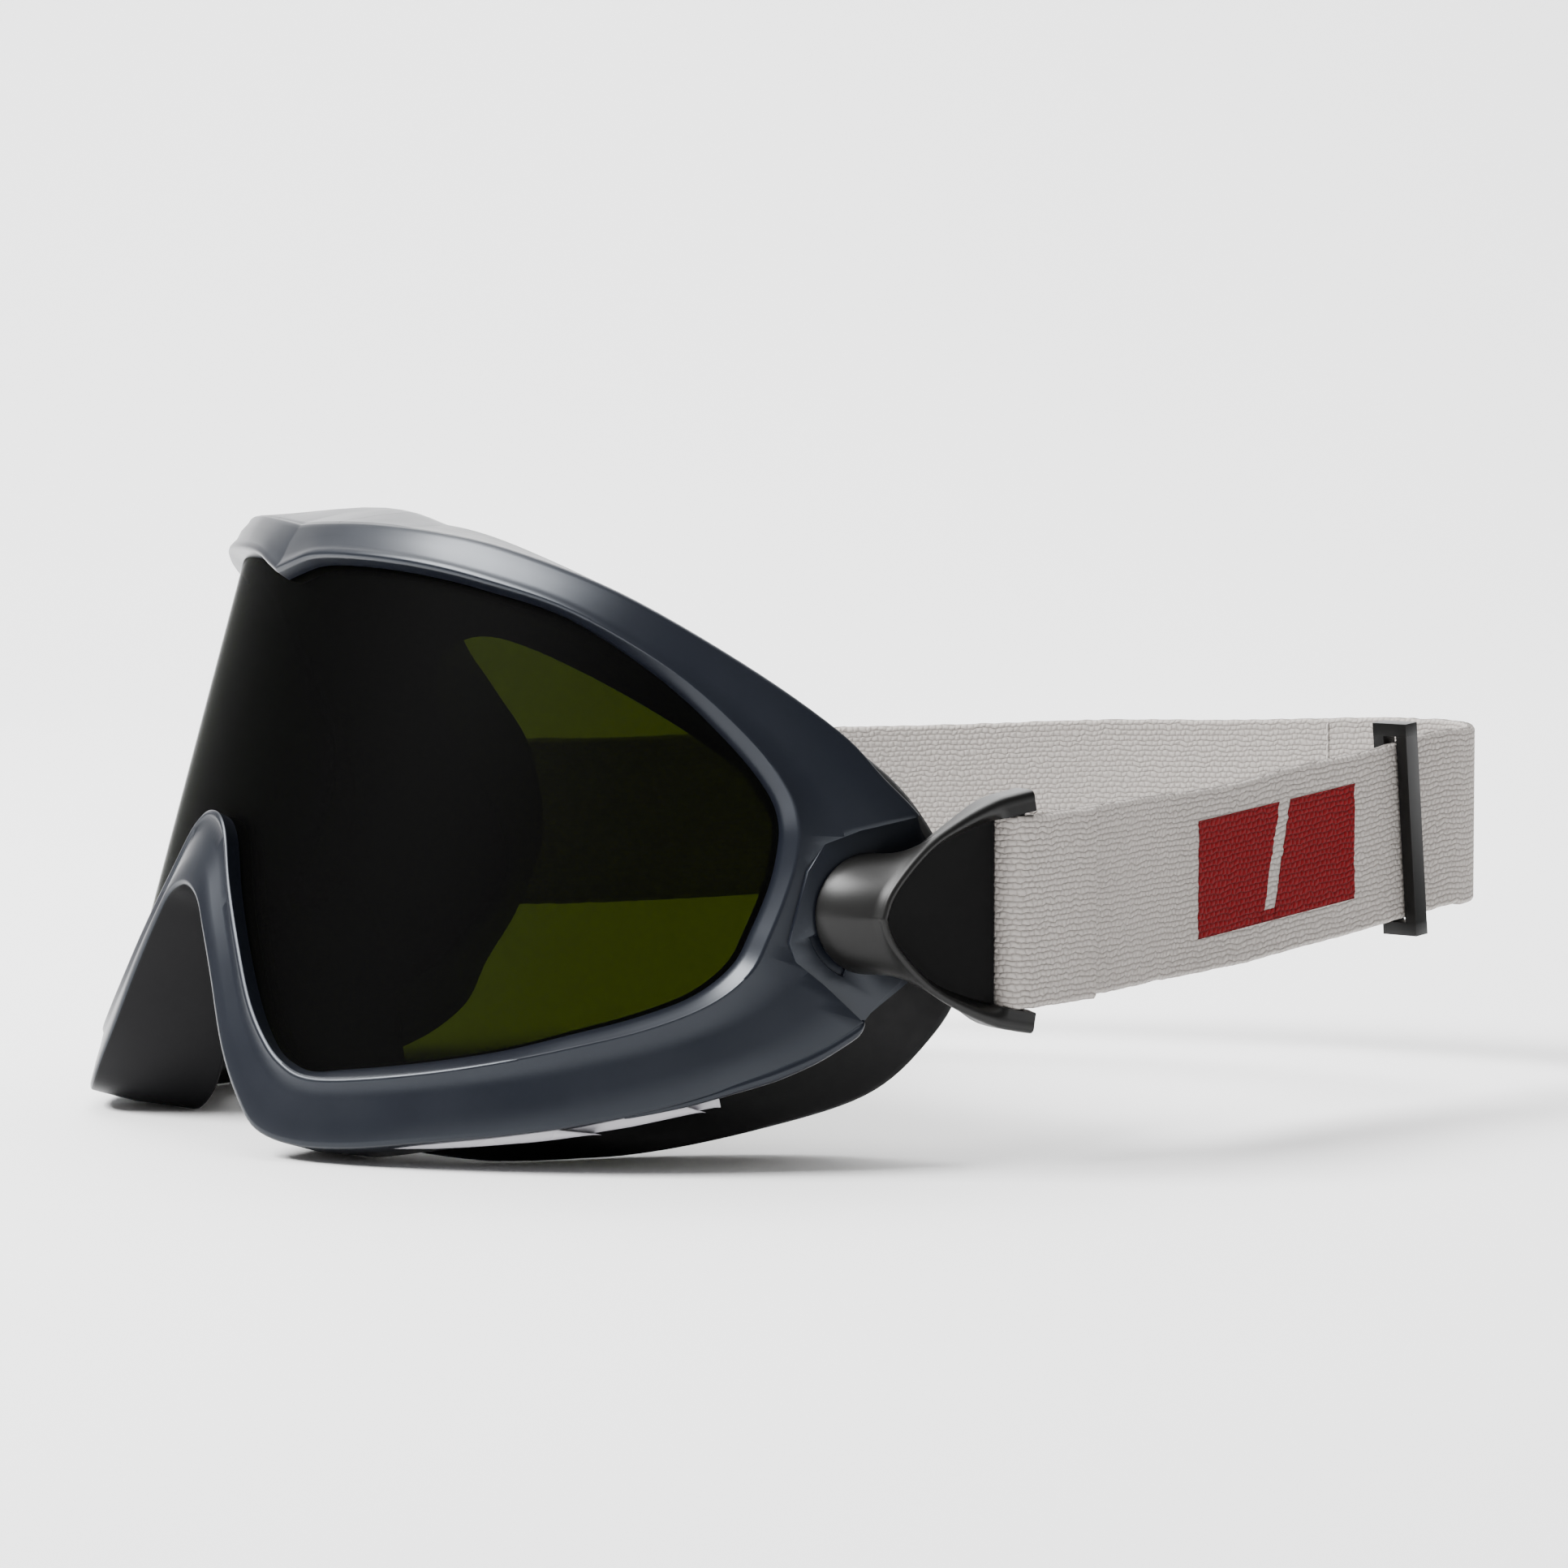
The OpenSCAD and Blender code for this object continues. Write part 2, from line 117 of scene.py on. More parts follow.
def make(name, verts_mm, faces, sharp=35, uvs=None):
    mesh = bpy.data.meshes.new(name)
    mesh.from_pydata([tuple(v) for v in np.asarray(verts_mm) / 1000.0], [], [tuple(f) for f in faces])
    mesh.validate()
    if uvs is not None:
        layer = mesh.uv_layers.new(name="along")
        for loop in mesh.loops:
            layer.data[loop.index].uv = uvs[loop.vertex_index]
    bm = bmesh.new()
    bm.from_mesh(mesh)
    bmesh.ops.recalc_face_normals(bm, faces=bm.faces)
    bm.to_mesh(mesh)
    bm.free()
    obj = bpy.data.objects.new(name, mesh)
    bpy.context.scene.collection.objects.link(obj)
    shade(obj, sharp)
    return obj


def shade(obj, sharp=35):
    for p in obj.data.polygons:
        p.use_smooth = True
    obj.data.set_sharp_from_angle(angle=math.radians(sharp))


def strip_faces(n, m, close_n, close_m):
    """The quads between n rows of m points."""
    return [(i * m + j, i * m + (j + 1) % m, ((i + 1) % n) * m + (j + 1) % m, ((i + 1) % n) * m + j)
            for i in range(n if close_n else n - 1) for j in range(m if close_m else m - 1)]


def loft(name, rows, place, close_rows=True, sharp=35, uvs=None):
    """A solid skin over closed sections; the row of sections closes on itself or gets two end caps."""
    rows = np.asarray(rows, float)
    n, m = rows.shape[:2]
    faces = strip_faces(n, m, close_rows, True)
    if not close_rows:
        faces += [tuple(range(m)), tuple((n - 1) * m + j for j in reversed(range(m)))]
    return make(name, place(rows.reshape(-1, 3)), faces, sharp, uvs)


def prism(name, outline, depth, place, sharp=35):
    """A closed outline of 3D points pushed along depth."""
    a = np.asarray(outline, float)
    m = len(a)
    pts = np.concatenate([a, a + np.asarray(depth, float)])
    faces = [tuple(range(m)), tuple(range(2 * m - 1, m - 1, -1))]
    faces += [(j, (j + 1) % m, m + (j + 1) % m, m + j) for j in range(m)]
    return make(name, place(pts), faces, sharp)


def bevel(obj, width, segments=2, angle=35):
    b = obj.modifiers.new("soft_edges", "BEVEL")
    b.width = width / 1000.0
    b.segments = segments
    b.limit_method = "ANGLE"
    b.angle_limit = math.radians(angle)
    b.use_clamp_overlap = True
    b.harden_normals = False
    return obj


def bake(obj, sharp=35):
    """Applies the modifiers that are on the piece."""
    graph = bpy.context.evaluated_depsgraph_get()
    mesh = bpy.data.meshes.new_from_object(obj.evaluated_get(graph))
    obj.modifiers.clear()
    obj.data = mesh
    shade(obj, sharp)
    return obj


def boolean(obj, tool, operation, sharp=35):
    b = obj.modifiers.new("boolean", "BOOLEAN")
    b.operation = operation
    b.solver = "EXACT"
    b.object = tool
    bpy.context.view_layer.update()
    bake(obj, sharp)
    bpy.data.objects.remove(tool)
    return obj


# ---- materials ------------------------------------------------------------------------------------
class Nodes:
    """A short way to write a node material."""

    def __init__(self, name):
        self.mat = bpy.data.materials.new(name)
        self.mat.use_nodes = True
        self.tree = self.mat.node_tree
        self.tree.nodes.clear()
        self.out = self.add("ShaderNodeOutputMaterial")
        self.shader = self.add("ShaderNodeBsdfPrincipled")
        self.link(self.shader.outputs[0], self.out.inputs[0])

    def add(self, kind, **props):
        node = self.tree.nodes.new(kind)
        for key, value in props.items():
            setattr(node, key, value)
        return node

    def link(self, a, b):
        self.tree.links.new(a, b)

    def put(self, node, index, value):
        if isinstance(value, (int, float)):
            node.inputs[index].default_value = value
        else:
            self.link(value, node.inputs[index])

    def math(self, operation, a, b=0.0):
        node = self.add("ShaderNodeMath", operation=operation)
        self.put(node, 0, a)
        self.put(node, 1, b)
        return node.outputs[0]

    def noise(self, scale, detail=3.0, rough=0.5, vector=None):
        node = self.add("ShaderNodeTexNoise")
        node.inputs["Scale"].default_value = scale
        node.inputs["Detail"].default_value = detail
        node.inputs["Roughness"].default_value = rough
        self.link(vector if vector is not None else self.place(), node.inputs["Vector"])
        return node.outputs["Fac"]

    def place(self):
        if not hasattr(self, "coords"):
            self.coords = self.add("ShaderNodeTexCoord")
        return self.coords.outputs["Object"]

    def spread(self, value, low, high, to_low=0.0, to_high=1.0):
        node = self.add("ShaderNodeMapRange")
        self.link(value, node.inputs[0])
        for index, number in enumerate((low, high, to_low, to_high), start=1):
            node.inputs[index].default_value = number
        return node.outputs[0]

    def mix(self, fac, a, b):
        node = self.add("ShaderNodeMix", data_type="RGBA")
        self.put(node, 0, fac)
        for index, colour in ((6, a), (7, b)):
            if isinstance(colour, tuple):
                node.inputs[index].default_value = (*colour, 1.0)
            else:
                self.link(colour, node.inputs[index])
        return node.outputs[2]

    def bump(self, height, strength, distance):
        node = self.add("ShaderNodeBump")
        node.inputs["Strength"].default_value = strength
        node.inputs["Distance"].default_value = distance
        self.link(height, node.inputs["Height"])
        if hasattr(self, "last_bump"):
            self.link(self.last_bump, node.inputs["Normal"])
        self.last_bump = node.outputs[0]
        self.link(self.last_bump, self.shader.inputs["Normal"])

    def set(self, **values):
        for key, value in values.items():
            socket = self.shader.inputs[key.replace("_", " ")]
            if isinstance(value, (int, float)):
                socket.default_value = value
            elif isinstance(value, tuple):
                socket.default_value = (*value, 1.0)
            else:
                self.link(value, socket)
        return self


def moulded(name, dark, light, rough, grain=2600.0, dents=0.000007, spec=0.5, tint=None):
    """Injection-moulded plastic: mottled colour, slightly uneven gloss and, with dents, a fine grain."""
    n = Nodes(name)
    n.set(Base_Color=n.mix(n.spread(n.noise(22.0, 3.0), 0.3, 0.7), dark, light))
    n.set(Roughness=n.spread(n.noise(55.0, 4.0), 0.35, 0.7, rough - 0.035, rough + 0.045))
    n.set(Specular_IOR_Level=spec)
    if tint:
        n.set(Specular_Tint=tint)
    if dents:
        n.bump(n.noise(grain, 2.0, 0.5), 0.3, dents)
    n.bump(n.noise(60.0, 1.0), 0.06, 0.00010)
    return n.mat


def rubber(name, colour):
    """Matt soft rubber with a fine grain over shallow waves."""
    n = Nodes(name)
    dark, light = tuple(c * 0.75 for c in colour), tuple(c * 1.3 for c in colour)
    n.set(Base_Color=n.mix(n.spread(n.noise(35.0, 5.0), 0.3, 0.7), dark, light))
    n.set(Roughness=n.spread(n.noise(500.0, 3.0), 0.3, 0.7, 0.46, 0.6))
    n.shader.inputs["Specular IOR Level"].default_value = 0.14
    n.bump(n.noise(2200.0, 2.0), 0.3, 0.00004)
    n.bump(n.noise(90.0, 3.0), 0.2, 0.00015)
    return n.mat


def tinted_lens(name):
    """Dark green filter plastic, with hairline scratches and haze. The absorption only shows where a view
    runs along inside the sheet, at the lens's edge."""
    n = Nodes(name)
    n.set(Base_Color=(0.0078, 0.0112, 0.0002))
    thickness = n.add("ShaderNodeVolumeAbsorption")
    thickness.inputs["Color"].default_value = (0.5, 0.55, 0.4, 1.0)
    thickness.inputs["Density"].default_value = 190.0
    n.link(thickness.outputs[0], n.out.inputs["Volume"])
    n.shader.inputs["Transmission Weight"].default_value = 1.0
    n.shader.inputs["IOR"].default_value = 1.005
    n.shader.inputs["Coat Weight"].default_value = 0.07
    n.shader.inputs["Coat Roughness"].default_value = 0.45
    n.shader.inputs["Coat IOR"].default_value = 1.5
    stretch = n.add("ShaderNodeMapping")
    n.link(n.place(), stretch.inputs["Vector"])
    stretch.inputs["Scale"].default_value = (700.0, 700.0, 14.0)
    stretch.inputs["Rotation"].default_value = (0.25, 0.1, 0.0)
    lines = n.noise(1.0, 2.0, 0.6, stretch.outputs[0])
    hair = n.spread(lines, 0.70, 0.76)
    haze = n.noise(40.0, 5.0)
    n.set(Roughness=n.math("ADD", n.spread(haze, 0.35, 0.75, 0.012, 0.04), n.math("MULTIPLY", hair, 0.05)))
    n.bump(hair, 0.12, 0.00001)
    return n.mat


def knitted(name, pale, hollow_shade_painted, wale=0.78, course=0.5):
    """Knitted elastic: raised wales along the band crossed by short loops, in the thread's colour, with
    painted shade darkening the hollows between them.
    """
    n = Nodes(name)
    uv = n.add("ShaderNodeUVMap", uv_map="along")
    split = n.add("ShaderNodeSeparateXYZ")
    n.link(uv.outputs[0], split.inputs[0])
    along, across = split.outputs[0], split.outputs[1]
    wobble = n.spread(n.noise(620.0, 3.0), 0.2, 0.8, -0.32, 0.32)
    row = n.math("DIVIDE", n.math("ADD", across, wobble), wale)
    whole = n.math("FLOOR", row)
    rib = n.math("ABSOLUTE", n.math("SINE", n.math("MULTIPLY", row, math.pi)))
    shift = n.math("MULTIPLY", n.math("MODULO", whole, 2.0), 0.5)
    loops = n.math("ADD", n.math("DIVIDE", n.math("ADD", along, wobble), course * 2), shift)
    loop = n.math("ABSOLUTE", n.math("SINE", n.math("MULTIPLY", loops, math.pi)))
    rib_soft = n.math("POWER", rib, 0.6)
    loop_soft = n.math("POWER", loop, 0.7)
    height = n.math("MULTIPLY", rib_soft, n.math("ADD", n.math("MULTIPLY", loop_soft, 0.7), 0.3))
    fluff = n.noise(2600.0, 3.0, 0.65)
    # Painted shade: the low parts of the knit take the darker colour.
    colour = n.mix(n.spread(height, 0.05, 0.75), hollow_shade_painted, pale)
    worn = tuple(c * 0.86 for c in pale)
    colour = n.mix(n.spread(n.noise(60.0, 5.0), 0.45, 0.75, 0.0, 0.6), colour, worn)
    colour = n.mix(n.spread(fluff, 0.45, 0.8, 0.0, 0.35), colour, tuple(min(1.0, c * 1.15) for c in pale))
    n.set(Base_Color=colour)
    n.shader.inputs["Roughness"].default_value = 0.9
    n.shader.inputs["Specular IOR Level"].default_value = 0.15
    n.shader.inputs["Sheen Weight"].default_value = 0.03
    n.shader.inputs["Sheen Roughness"].default_value = 0.5
    n.bump(height, 0.75, 0.00035)
    n.bump(fluff, 0.35, 0.00008)
    return n.mat


def thread_look(name, colour):
    n = Nodes(name)
    dark = tuple(c * 0.8 for c in colour)
    n.set(Base_Color=n.mix(n.spread(n.noise(900.0, 3.0), 0.3, 0.7), dark, colour))
    n.shader.inputs["Roughness"].default_value = 0.75
    n.shader.inputs["Sheen Weight"].default_value = 0.2
    n.bump(n.noise(3000.0, 2.0), 0.6, 0.00008)
    return n.mat


FRAME_BLUE = moulded("frame_plastic", (0.0044, 0.0054, 0.0088), (0.0058, 0.0071, 0.0112), 0.32,
                     dents=0, spec=0.34, tint=(0.86, 0.92, 1.0))
CLIP_BLACK = moulded("clip_plastic", (0.0030, 0.0029, 0.0028), (0.0042, 0.0041, 0.0039), 0.38,
                     2000.0, 0.00001, 0.26)
FACE_BLACK = moulded("clip_face_plastic", (0.0020, 0.0020, 0.0020), (0.0030, 0.0030, 0.0030), 0.5, spec=0.07)
WALL_BLACK = moulded("nose_wall_plastic", (0.0045, 0.0045, 0.0052), (0.006, 0.006, 0.0068), 0.42, spec=0.12)
# The vent blades are moulded in the frame's plastic; their pale grey colour is a painted reflection of the
# white floor below them.
VENT_PAINTED_REFLECTION = moulded("vent_painted_floor_reflection", (0.33, 0.325, 0.35), (0.39, 0.38, 0.41), 0.28, spec=0.6)
PIN_BLACK = moulded("pin_plastic", (0.005, 0.005, 0.005), (0.008, 0.008, 0.008), 0.35, spec=0.2)
SEAL_BLACK = rubber("seal_rubber", (0.0045, 0.0045, 0.0048))
LENS_GREEN = tinted_lens("lens_filter")
WEB_PALE = knitted("elastic_webbing", (0.40, 0.37, 0.345), (0.25, 0.228, 0.21))
WEB_RED = knitted("printed_webbing", (0.150, 0.0008, 0.003), (0.075, 0.0004, 0.0015))
THREAD = thread_look("stitch_thread", (0.52, 0.49, 0.46))


def finish_piece(obj, material, body, slot_name, *nodes):
    """Gives a piece its material and the body it rides on, and hides the CAD nodes it stands for; slot_name
    is not used.
    """
    obj.data.materials.clear()
    obj.data.materials.append(material)
    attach(obj, body)
    if nodes:
        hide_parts(*nodes)
    return obj


# ---- front frame ----------------------------------------------------------------------------------
# From the brow round the wearer's left to the nose: aperture at the lens (s, z), front lip (s, z),
# outer edge (s, z), stand-off of the outer edge, wall depth, rise of the wall per millimetre back.
FRAME_ROWS = [
    (0, 33.9, 0, 34.5, 0, 41.7, 0.5, 8.5, 0.27),
    (3.2, 34.8, 3.1, 35.4, 3.2, 41.95, 0.5, 8.5, 0.27),
    (9, 36.3, 8.8, 36.9, 9, 42.35, 0.5, 8.5, 0.27),
    (18, 37.0, 18, 37.6, 18, 42.9, 0.5, 8.5, 0.27),
    (30, 37.2, 30.5, 37.9, 30, 43.2, 0.5, 8.5, 0.22),
    (41, 36.7, 42, 37.4, 43, 42.7, 0.7, 8.0, 0.09),
    (54, 35.3, 55, 36.0, 60, 40.2, 1.0, 7.5, -0.02),
    (68, 30.4, 69.5, 31.6, 78, 35.0, 1.3, 7.0, -0.05),
    (78.5, 24.6, 80.8, 25.6, 92, 29.6, 1.5, 6.2, 0.0),
    (84.8, 19.9, 86.9, 20.6, 99, 25.3, 1.6, 5.8, 0.0),
    (87.4, 16.2, 89.5, 16.6, 105.5, 21.2, 1.6, 5.6, 0.0),
    (88.2, 12.0, 90.3, 12.2, 111, 15, 1.6, 5.6, 0.0),
    (88.2, 7.5, 90.2, 7.6, 112.6, 8, 1.6, 5.6, 0.0),
    (87.4, 2.0, 89.5, 2.0, 111.2, 2.4, 1.6, 5.6, 0.0),
    (86.2, -2.9, 88.3, -3.4, 107.0, -3.0, 1.6, 5.6, 0.0),
    (82.4, -7.9, 84.4, -8.6, 99.7, -11.6, 1.6, 6.2, 0.0),
    (76.0, -12.4, 77.6, -13.6, 90.7, -18.0, 1.6, 7.0, 0.0),
    (68.1, -16.7, 69.2, -18.1, 81.8, -23.3, 1.6, 7.6, 0.0),
    (60.6, -20.5, 61.4, -21.8, 72.5, -27.8, 1.6, 8.0, 0.0),
    (52.8, -23.6, 53.2, -25.1, 62.8, -31.6, 1.6, 8.2, 0.0),
    (45, -26.2, 45, -27.8, 52.6, -35, 1.6, 8.4, 0.0),
    (38.2, -28.1, 38, -29.6, 43.0, -37.9, 1.7, 9.0, 0.0),
    (33.6, -29.3, 33.6, -30.1, 34.4, -39.3, 1.8, 12.0, 0.0),
    (30.2, -29.1, 30.2, -29.4, 27.6, -38.6, 2.0, 15.0, 0.0),
    (26.4, -27.6, 26.2, -27.3, 22.9, -35.2, 2.2, 16.5, 0.0),
    (21.4, -23.2, 20.9, -22.6, 17.6, -29.5, 2.4, 16.0, 0.0),
    (15.2, -15.8, 14.9, -15.0, 11.9, -21, 2.8, 15.0, 0.0),
    (9.8, -8.7, 9.5, -7.8, 7.8, -15.2, 3.2, 14.0, 0.0),
    (4.7, -1.4, 4.6, -0.7, 4.4, -11.0, 3.5, 13.0, 0.0),
    (0, 0.9, 0, 1.3, 0, -9.4, 3.6, 13.0, 0.0),
]
STEPS = 6
OTHER_SIDE = (-1, 1, -1, 1, -1, 1, 1, 1, 1)
# The row past the nose is there for the curve to cross the centre line level.
past_nose = [q * f for q, f in zip(FRAME_ROWS[-2], OTHER_SIDE)]
half = spline(FRAME_ROWS + [past_nose], STEPS)[:(len(FRAME_ROWS) - 1) * STEPS + 1]
columns = both_halves(half, OTHER_SIDE)


def frame_section(row):
    """The band's section: pairs of a point (s, z) and its stand-off, from the aperture round to the back."""
    a, b, c = row[0:2], row[2:4], row[4:6]
    stand, depth, rise = row[6:9]
    w = unit(a - c)
    up = np.array([0.0, rise])
    end = stand - depth
    rear = min(end + 1.2, -4.0)
    return [
        (a, -3.9), (a, -0.1), (between(a, b, 0.45), 0.95), (between(a, b, 0.85), 1.75),
        (between(a, b, 1.05), 2.12), (b - w * 0.35, 2.34), (b - w * 0.75, 2.32), (b - w * 1.25, 2.05),
        (between(b, c, 0.34), 2.08 + (stand - 2.1) * 0.25), (between(b, c, 0.6), 2.2 + (stand - 2.1) * 0.52),
        (c + w * 0.8, stand + 0.16), (c + w * 0.3, stand + 0.03), (c + w * 0.05, stand - 0.2),
        (c, stand - 0.55), (c + up * depth * 0.5, stand - depth * 0.5), (c + up * depth, end + 0.5),
        (c + up * depth + w * 0.15, end + 0.15), (c + up * depth + w * 0.5, end),
        (c + up * depth + w * 1.9, end), (c + up * depth + w * 2.25, end + 0.4),
        (c + up * depth * 0.6 + w * 2.4, max(rear, end + 0.6)), (c + w * 3.2, -4.25),
        (between(c, a, 0.8), -4.1)]


sections = [[on_lens(p[0], p[1], h) for p, h in frame_section(row)] for row in columns]
front = loft("front_frame_shell", np.array(sections), on_floor, sharp=50)

# The shallow recess at the temple and the plate that fills it, as (y, z) in the goggle's own axes.
RECESS_X, TOOL_DEPTH = 75.1, 30
RECESS = [(46.8, 11), (46.8, 1.6), (48.4, -0.6), (52.2, -2.4), (58, -5.6), (61.0, -7.4), (74, -7.4),
          (74, 27.5), (60.2, 23.1), (58.4, 21.4), (52, 17.9), (48.2, 15.0)]
PLATE = [(46.75, 11.05), (46.75, 1.6), (48.35, -0.65), (52.2, -2.45), (57.9, -5.6), (59.8, -6.6),
         (61.8, -2.6), (65.2, 2), (66.5, 8), (64.9, 14.8), (60.2, 22.2), (58.4, 21.45), (52.0, 17.95),
         (48.15, 15.05)]
for side in (1, -1):
    tool = prism("tool", [(side * RECESS_X, y, z) for y, z in RECESS], (side * TOOL_DEPTH, 0, 0), leaned)
    front = boolean(front, tool, "DIFFERENCE", 50)
front = bake(bevel(front, 0.16, 2, 50), 60)
front.name = "front_frame_shell"
finish_piece(front, FRAME_BLUE, "goggle", "frame", "front_frame")
front.data.materials.append(WALL_BLACK)
NOSE_HALF_WIDTH, NOSE_TOP = 34, 3
for face in front.data.polygons:
    # The walls that face down and inward round the nose are the darker plastic.
    x, y, z = face.center * 1000
    back = (y - REST_Y) * math.cos(PITCH) - (z - REST_Z) * math.sin(PITCH)
    high = (y - REST_Y) * math.sin(PITCH) + (z - REST_Z) * math.cos(PITCH)
    n_back = face.normal.y * math.cos(PITCH) - face.normal.z * math.sin(PITCH)
    n_high = face.normal.y * math.sin(PITCH) + face.normal.z * math.cos(PITCH)
    outward = (face.normal.x * x - n_back * (LENS_R - back)) / math.hypot(x, LENS_R - back)
    if abs(x) < NOSE_HALF_WIDTH and high < NOSE_TOP and n_high < -0.05 and outward < 0.3:
        face.material_index = 1


def temple_plate(side, name):
    """The plate under the clip, with the curved slot that stops the clip's swing."""
    outline = [(side * (PLATE_X - PLATE_T), y, z) for y, z in PLATE]
    plate = prism(name, outline, (side * PLATE_T, 0, 0), leaned)
    start, stop = math.radians(199), math.radians(247)
    ring = []
    for radius, sweep in ((8.7, (start, stop)), (6.0, (stop, start))):
        for k in range(9):
            a = sweep[0] + (sweep[1] - sweep[0]) * k / 8
            ring.append((side * 60, radius * math.cos(a), radius * math.sin(a)))
    plate = boolean(plate, prism("tool", ring, (side * TOOL_DEPTH, 0, 0), level), "DIFFERENCE")
    return bake(bevel(plate, 0.18, 2, 40), 40)


for side, name in ((1, "temple_plate_left"), (-1, "temple_plate_right")):
    finish_piece(temple_plate(side, name), FRAME_BLUE, "goggle", "frame")


def rolled_rim(side, name):
    """The half-round bead along the lower temple edge."""
    path = spline([(78, -25.3), (85, -21.6), (90.7, -18.0), (95.5, -14.8), (99.7, -11.5), (102.6, -8.6),
                   (104.6, -6.3)], 8)
    turns = 2 * math.pi * np.arange(16) / 16
    rows = []
    for k, (s_here, z_here) in enumerate(path):
        t = k / (len(path) - 1)
        radius = 0.25 + 0.95 * min(1.0, t / 0.5) ** 0.8
        radius *= 1.0 if t < 0.93 else math.sqrt(max(0.05, 1 - ((t - 0.93) / 0.075) ** 2))
        rows.append([on_lens(side * s_here, z_here + radius * math.sin(a) + 0.15, 0.85 + radius * math.cos(a))
                     for a in turns])
    return loft(name, np.array(rows), leaned, close_rows=False, sharp=60)


for side, name in ((1, "rolled_rim_left"), (-1, "rolled_rim_right")):
    finish_piece(rolled_rim(side, name), FRAME_BLUE, "goggle", "frame")

BROW_TOP = [(0, 47.4), (5, 47.25), (10, 46.9), (14, 46.4), (18, 45.8), (22, 45.25), (26, 44.7), (30, 44.2),
            (34, 43.8)]
TOP_EDGE = [((LENS_R + 0.5) * math.sin(q[4] / LENS_R), q[5]) for q in half if q[5] > 39]
BROW_FRONT_R, BROW_BACK_R, BROW_BACK_Y = 80.3, 67.0, 12.0


def in_table(table, at):
    """Straight-line interpolation in a table of pairs."""
    return np.interp(at, [q[0] for q in table], [q[1] for q in table])


def brow_block(name, x0, x1):
    """The raised top of the frame: it slopes up and back from the front edge and dies out sideways."""
    rows = []
    for x in np.linspace(x0, x1, 40):
        ax = abs(x)
        y_front = LENS_R - math.sqrt(BROW_FRONT_R ** 2 - x * x) + 0.1
        y_back = max(y_front + 3, min(BROW_BACK_Y, LENS_R - math.sqrt(BROW_BACK_R ** 2 - x * x)))
        edge = in_table(TOP_EDGE, ax)
        crest = in_table(BROW_TOP, ax)
        sink = 0.4 * min(1.0, max(0.0, (ax - 22) / 9))
        row = [(x, y_front + 1.2, edge - 1.5), (x, y_front, edge - 0.2 - sink)]
        for t in (0.02, 0.06, 0.14, 0.3, 0.5, 0.7, 0.84, 0.93, 0.98, 1.0):
            rise = 1 - (1 - t) ** 1.25
            drop = 0.0 if t < 0.9 else 0.9 * ((t - 0.9) / 0.1) ** 2
            z = edge + 0.05 - sink + (crest - edge) * rise - drop
            row.append((x, y_front + (y_back - y_front) * t, z))
        row.append((x, y_back, edge - 1.5))
        rows.append(row)
    return loft(name, rows, leaned, close_rows=False, sharp=50)


finish_piece(brow_block("brow_middle", -9.8, 9.8), FRAME_BLUE, "goggle", "frame")
finish_piece(brow_block("brow_cover_l", 9.9, 34), FRAME_BLUE, "goggle", "frame", "brow_cover_left")
finish_piece(brow_block("brow_cover_r", -34, -9.9), FRAME_BLUE, "goggle", "frame", "brow_cover_right")

# ---- vent louvres ---------------------------------------------------------------------------------
# The frame's lower edge and how far the blades hang below it, against y.
LOWER_EDGE = [(2, -39.8), (8, -38.4), (14.6, -35), (21.6, -31.6), (29, -27.8), (36.9, -23.4), (45, -18.2),
              (53.6, -12)]
BLADE_DROP = [(7.0, 0.1), (9, 0.7), (12, 1.4), (18.3, 2.0), (27, 2.4), (37, 2.65), (44.8, 3.0), (60, 3.0)]


BLADE_SECTION = [(0.0, 0.0), (0.25, 0.0), (0.6, 0.45), (0.88, 1.0), (0.97, 1.3), (1.0, 1.7), (0.94, 2.2),
                 (0.5, 2.3), (0.0, 2.2)]


def louvre(name, side, y0, y_top, y_end, radius):
    """One long blade under the frame, lapped over the next and cut off on a long slant."""
    rows = []
    for y in np.concatenate([np.linspace(y0, y_top, 16), np.linspace(y_top, y_end - 0.05, 16)[1:]]):
        drop = in_table(BLADE_DROP, y)
        edge = in_table(LOWER_EDGE, y)
        low = edge - drop
        cut_off = max(0.0, (y - y_top) / (y_end - y_top))
        top = edge + 1.3 - (1.3 + drop - 0.06) * cut_off
        rows.append([(side * math.sqrt((radius - inset) ** 2 - (LENS_R - y) ** 2), y, top + (low - top) * t)
                     for t, inset in BLADE_SECTION])
    return loft(name, rows, leaned, close_rows=False, sharp=60)


# Each blade: where it starts, where its slant starts and ends (y), and its radius round the lens axis.
BLADES = ((7.0, 22.5, 33.0, 80.3), (20.0, 37.0, 43.6, 79.9), (35.0, 43.9, 45.3, 79.5))
for side, word in ((1, "left"), (-1, "right")):
    for k, blade in enumerate(BLADES):
        replaced = (f"vent_baffle_{word}",) if k == 0 else ()
        finish_piece(louvre(f"vent_louvre_{word}_{k + 1}", side, *blade), VENT_PAINTED_REFLECTION, "goggle", "clip_black",
                     *replaced)

# ---- lens -----------------------------------------------------------------------------------------
GROOVE, LENS_T = 2.2, 2.0
ap = columns[:, 0:2]
tangent = np.roll(ap, -1, axis=0) - np.roll(ap, 1, axis=0)
tangent /= np.linalg.norm(tangent, axis=1)[:, None]
normal = np.stack([-tangent[:, 1], tangent[:, 0]], axis=1)
centre = ap.mean(axis=0)
if ((ap - centre) * normal).sum() < 0:
    normal = -normal
rim = ap + normal * GROOVE


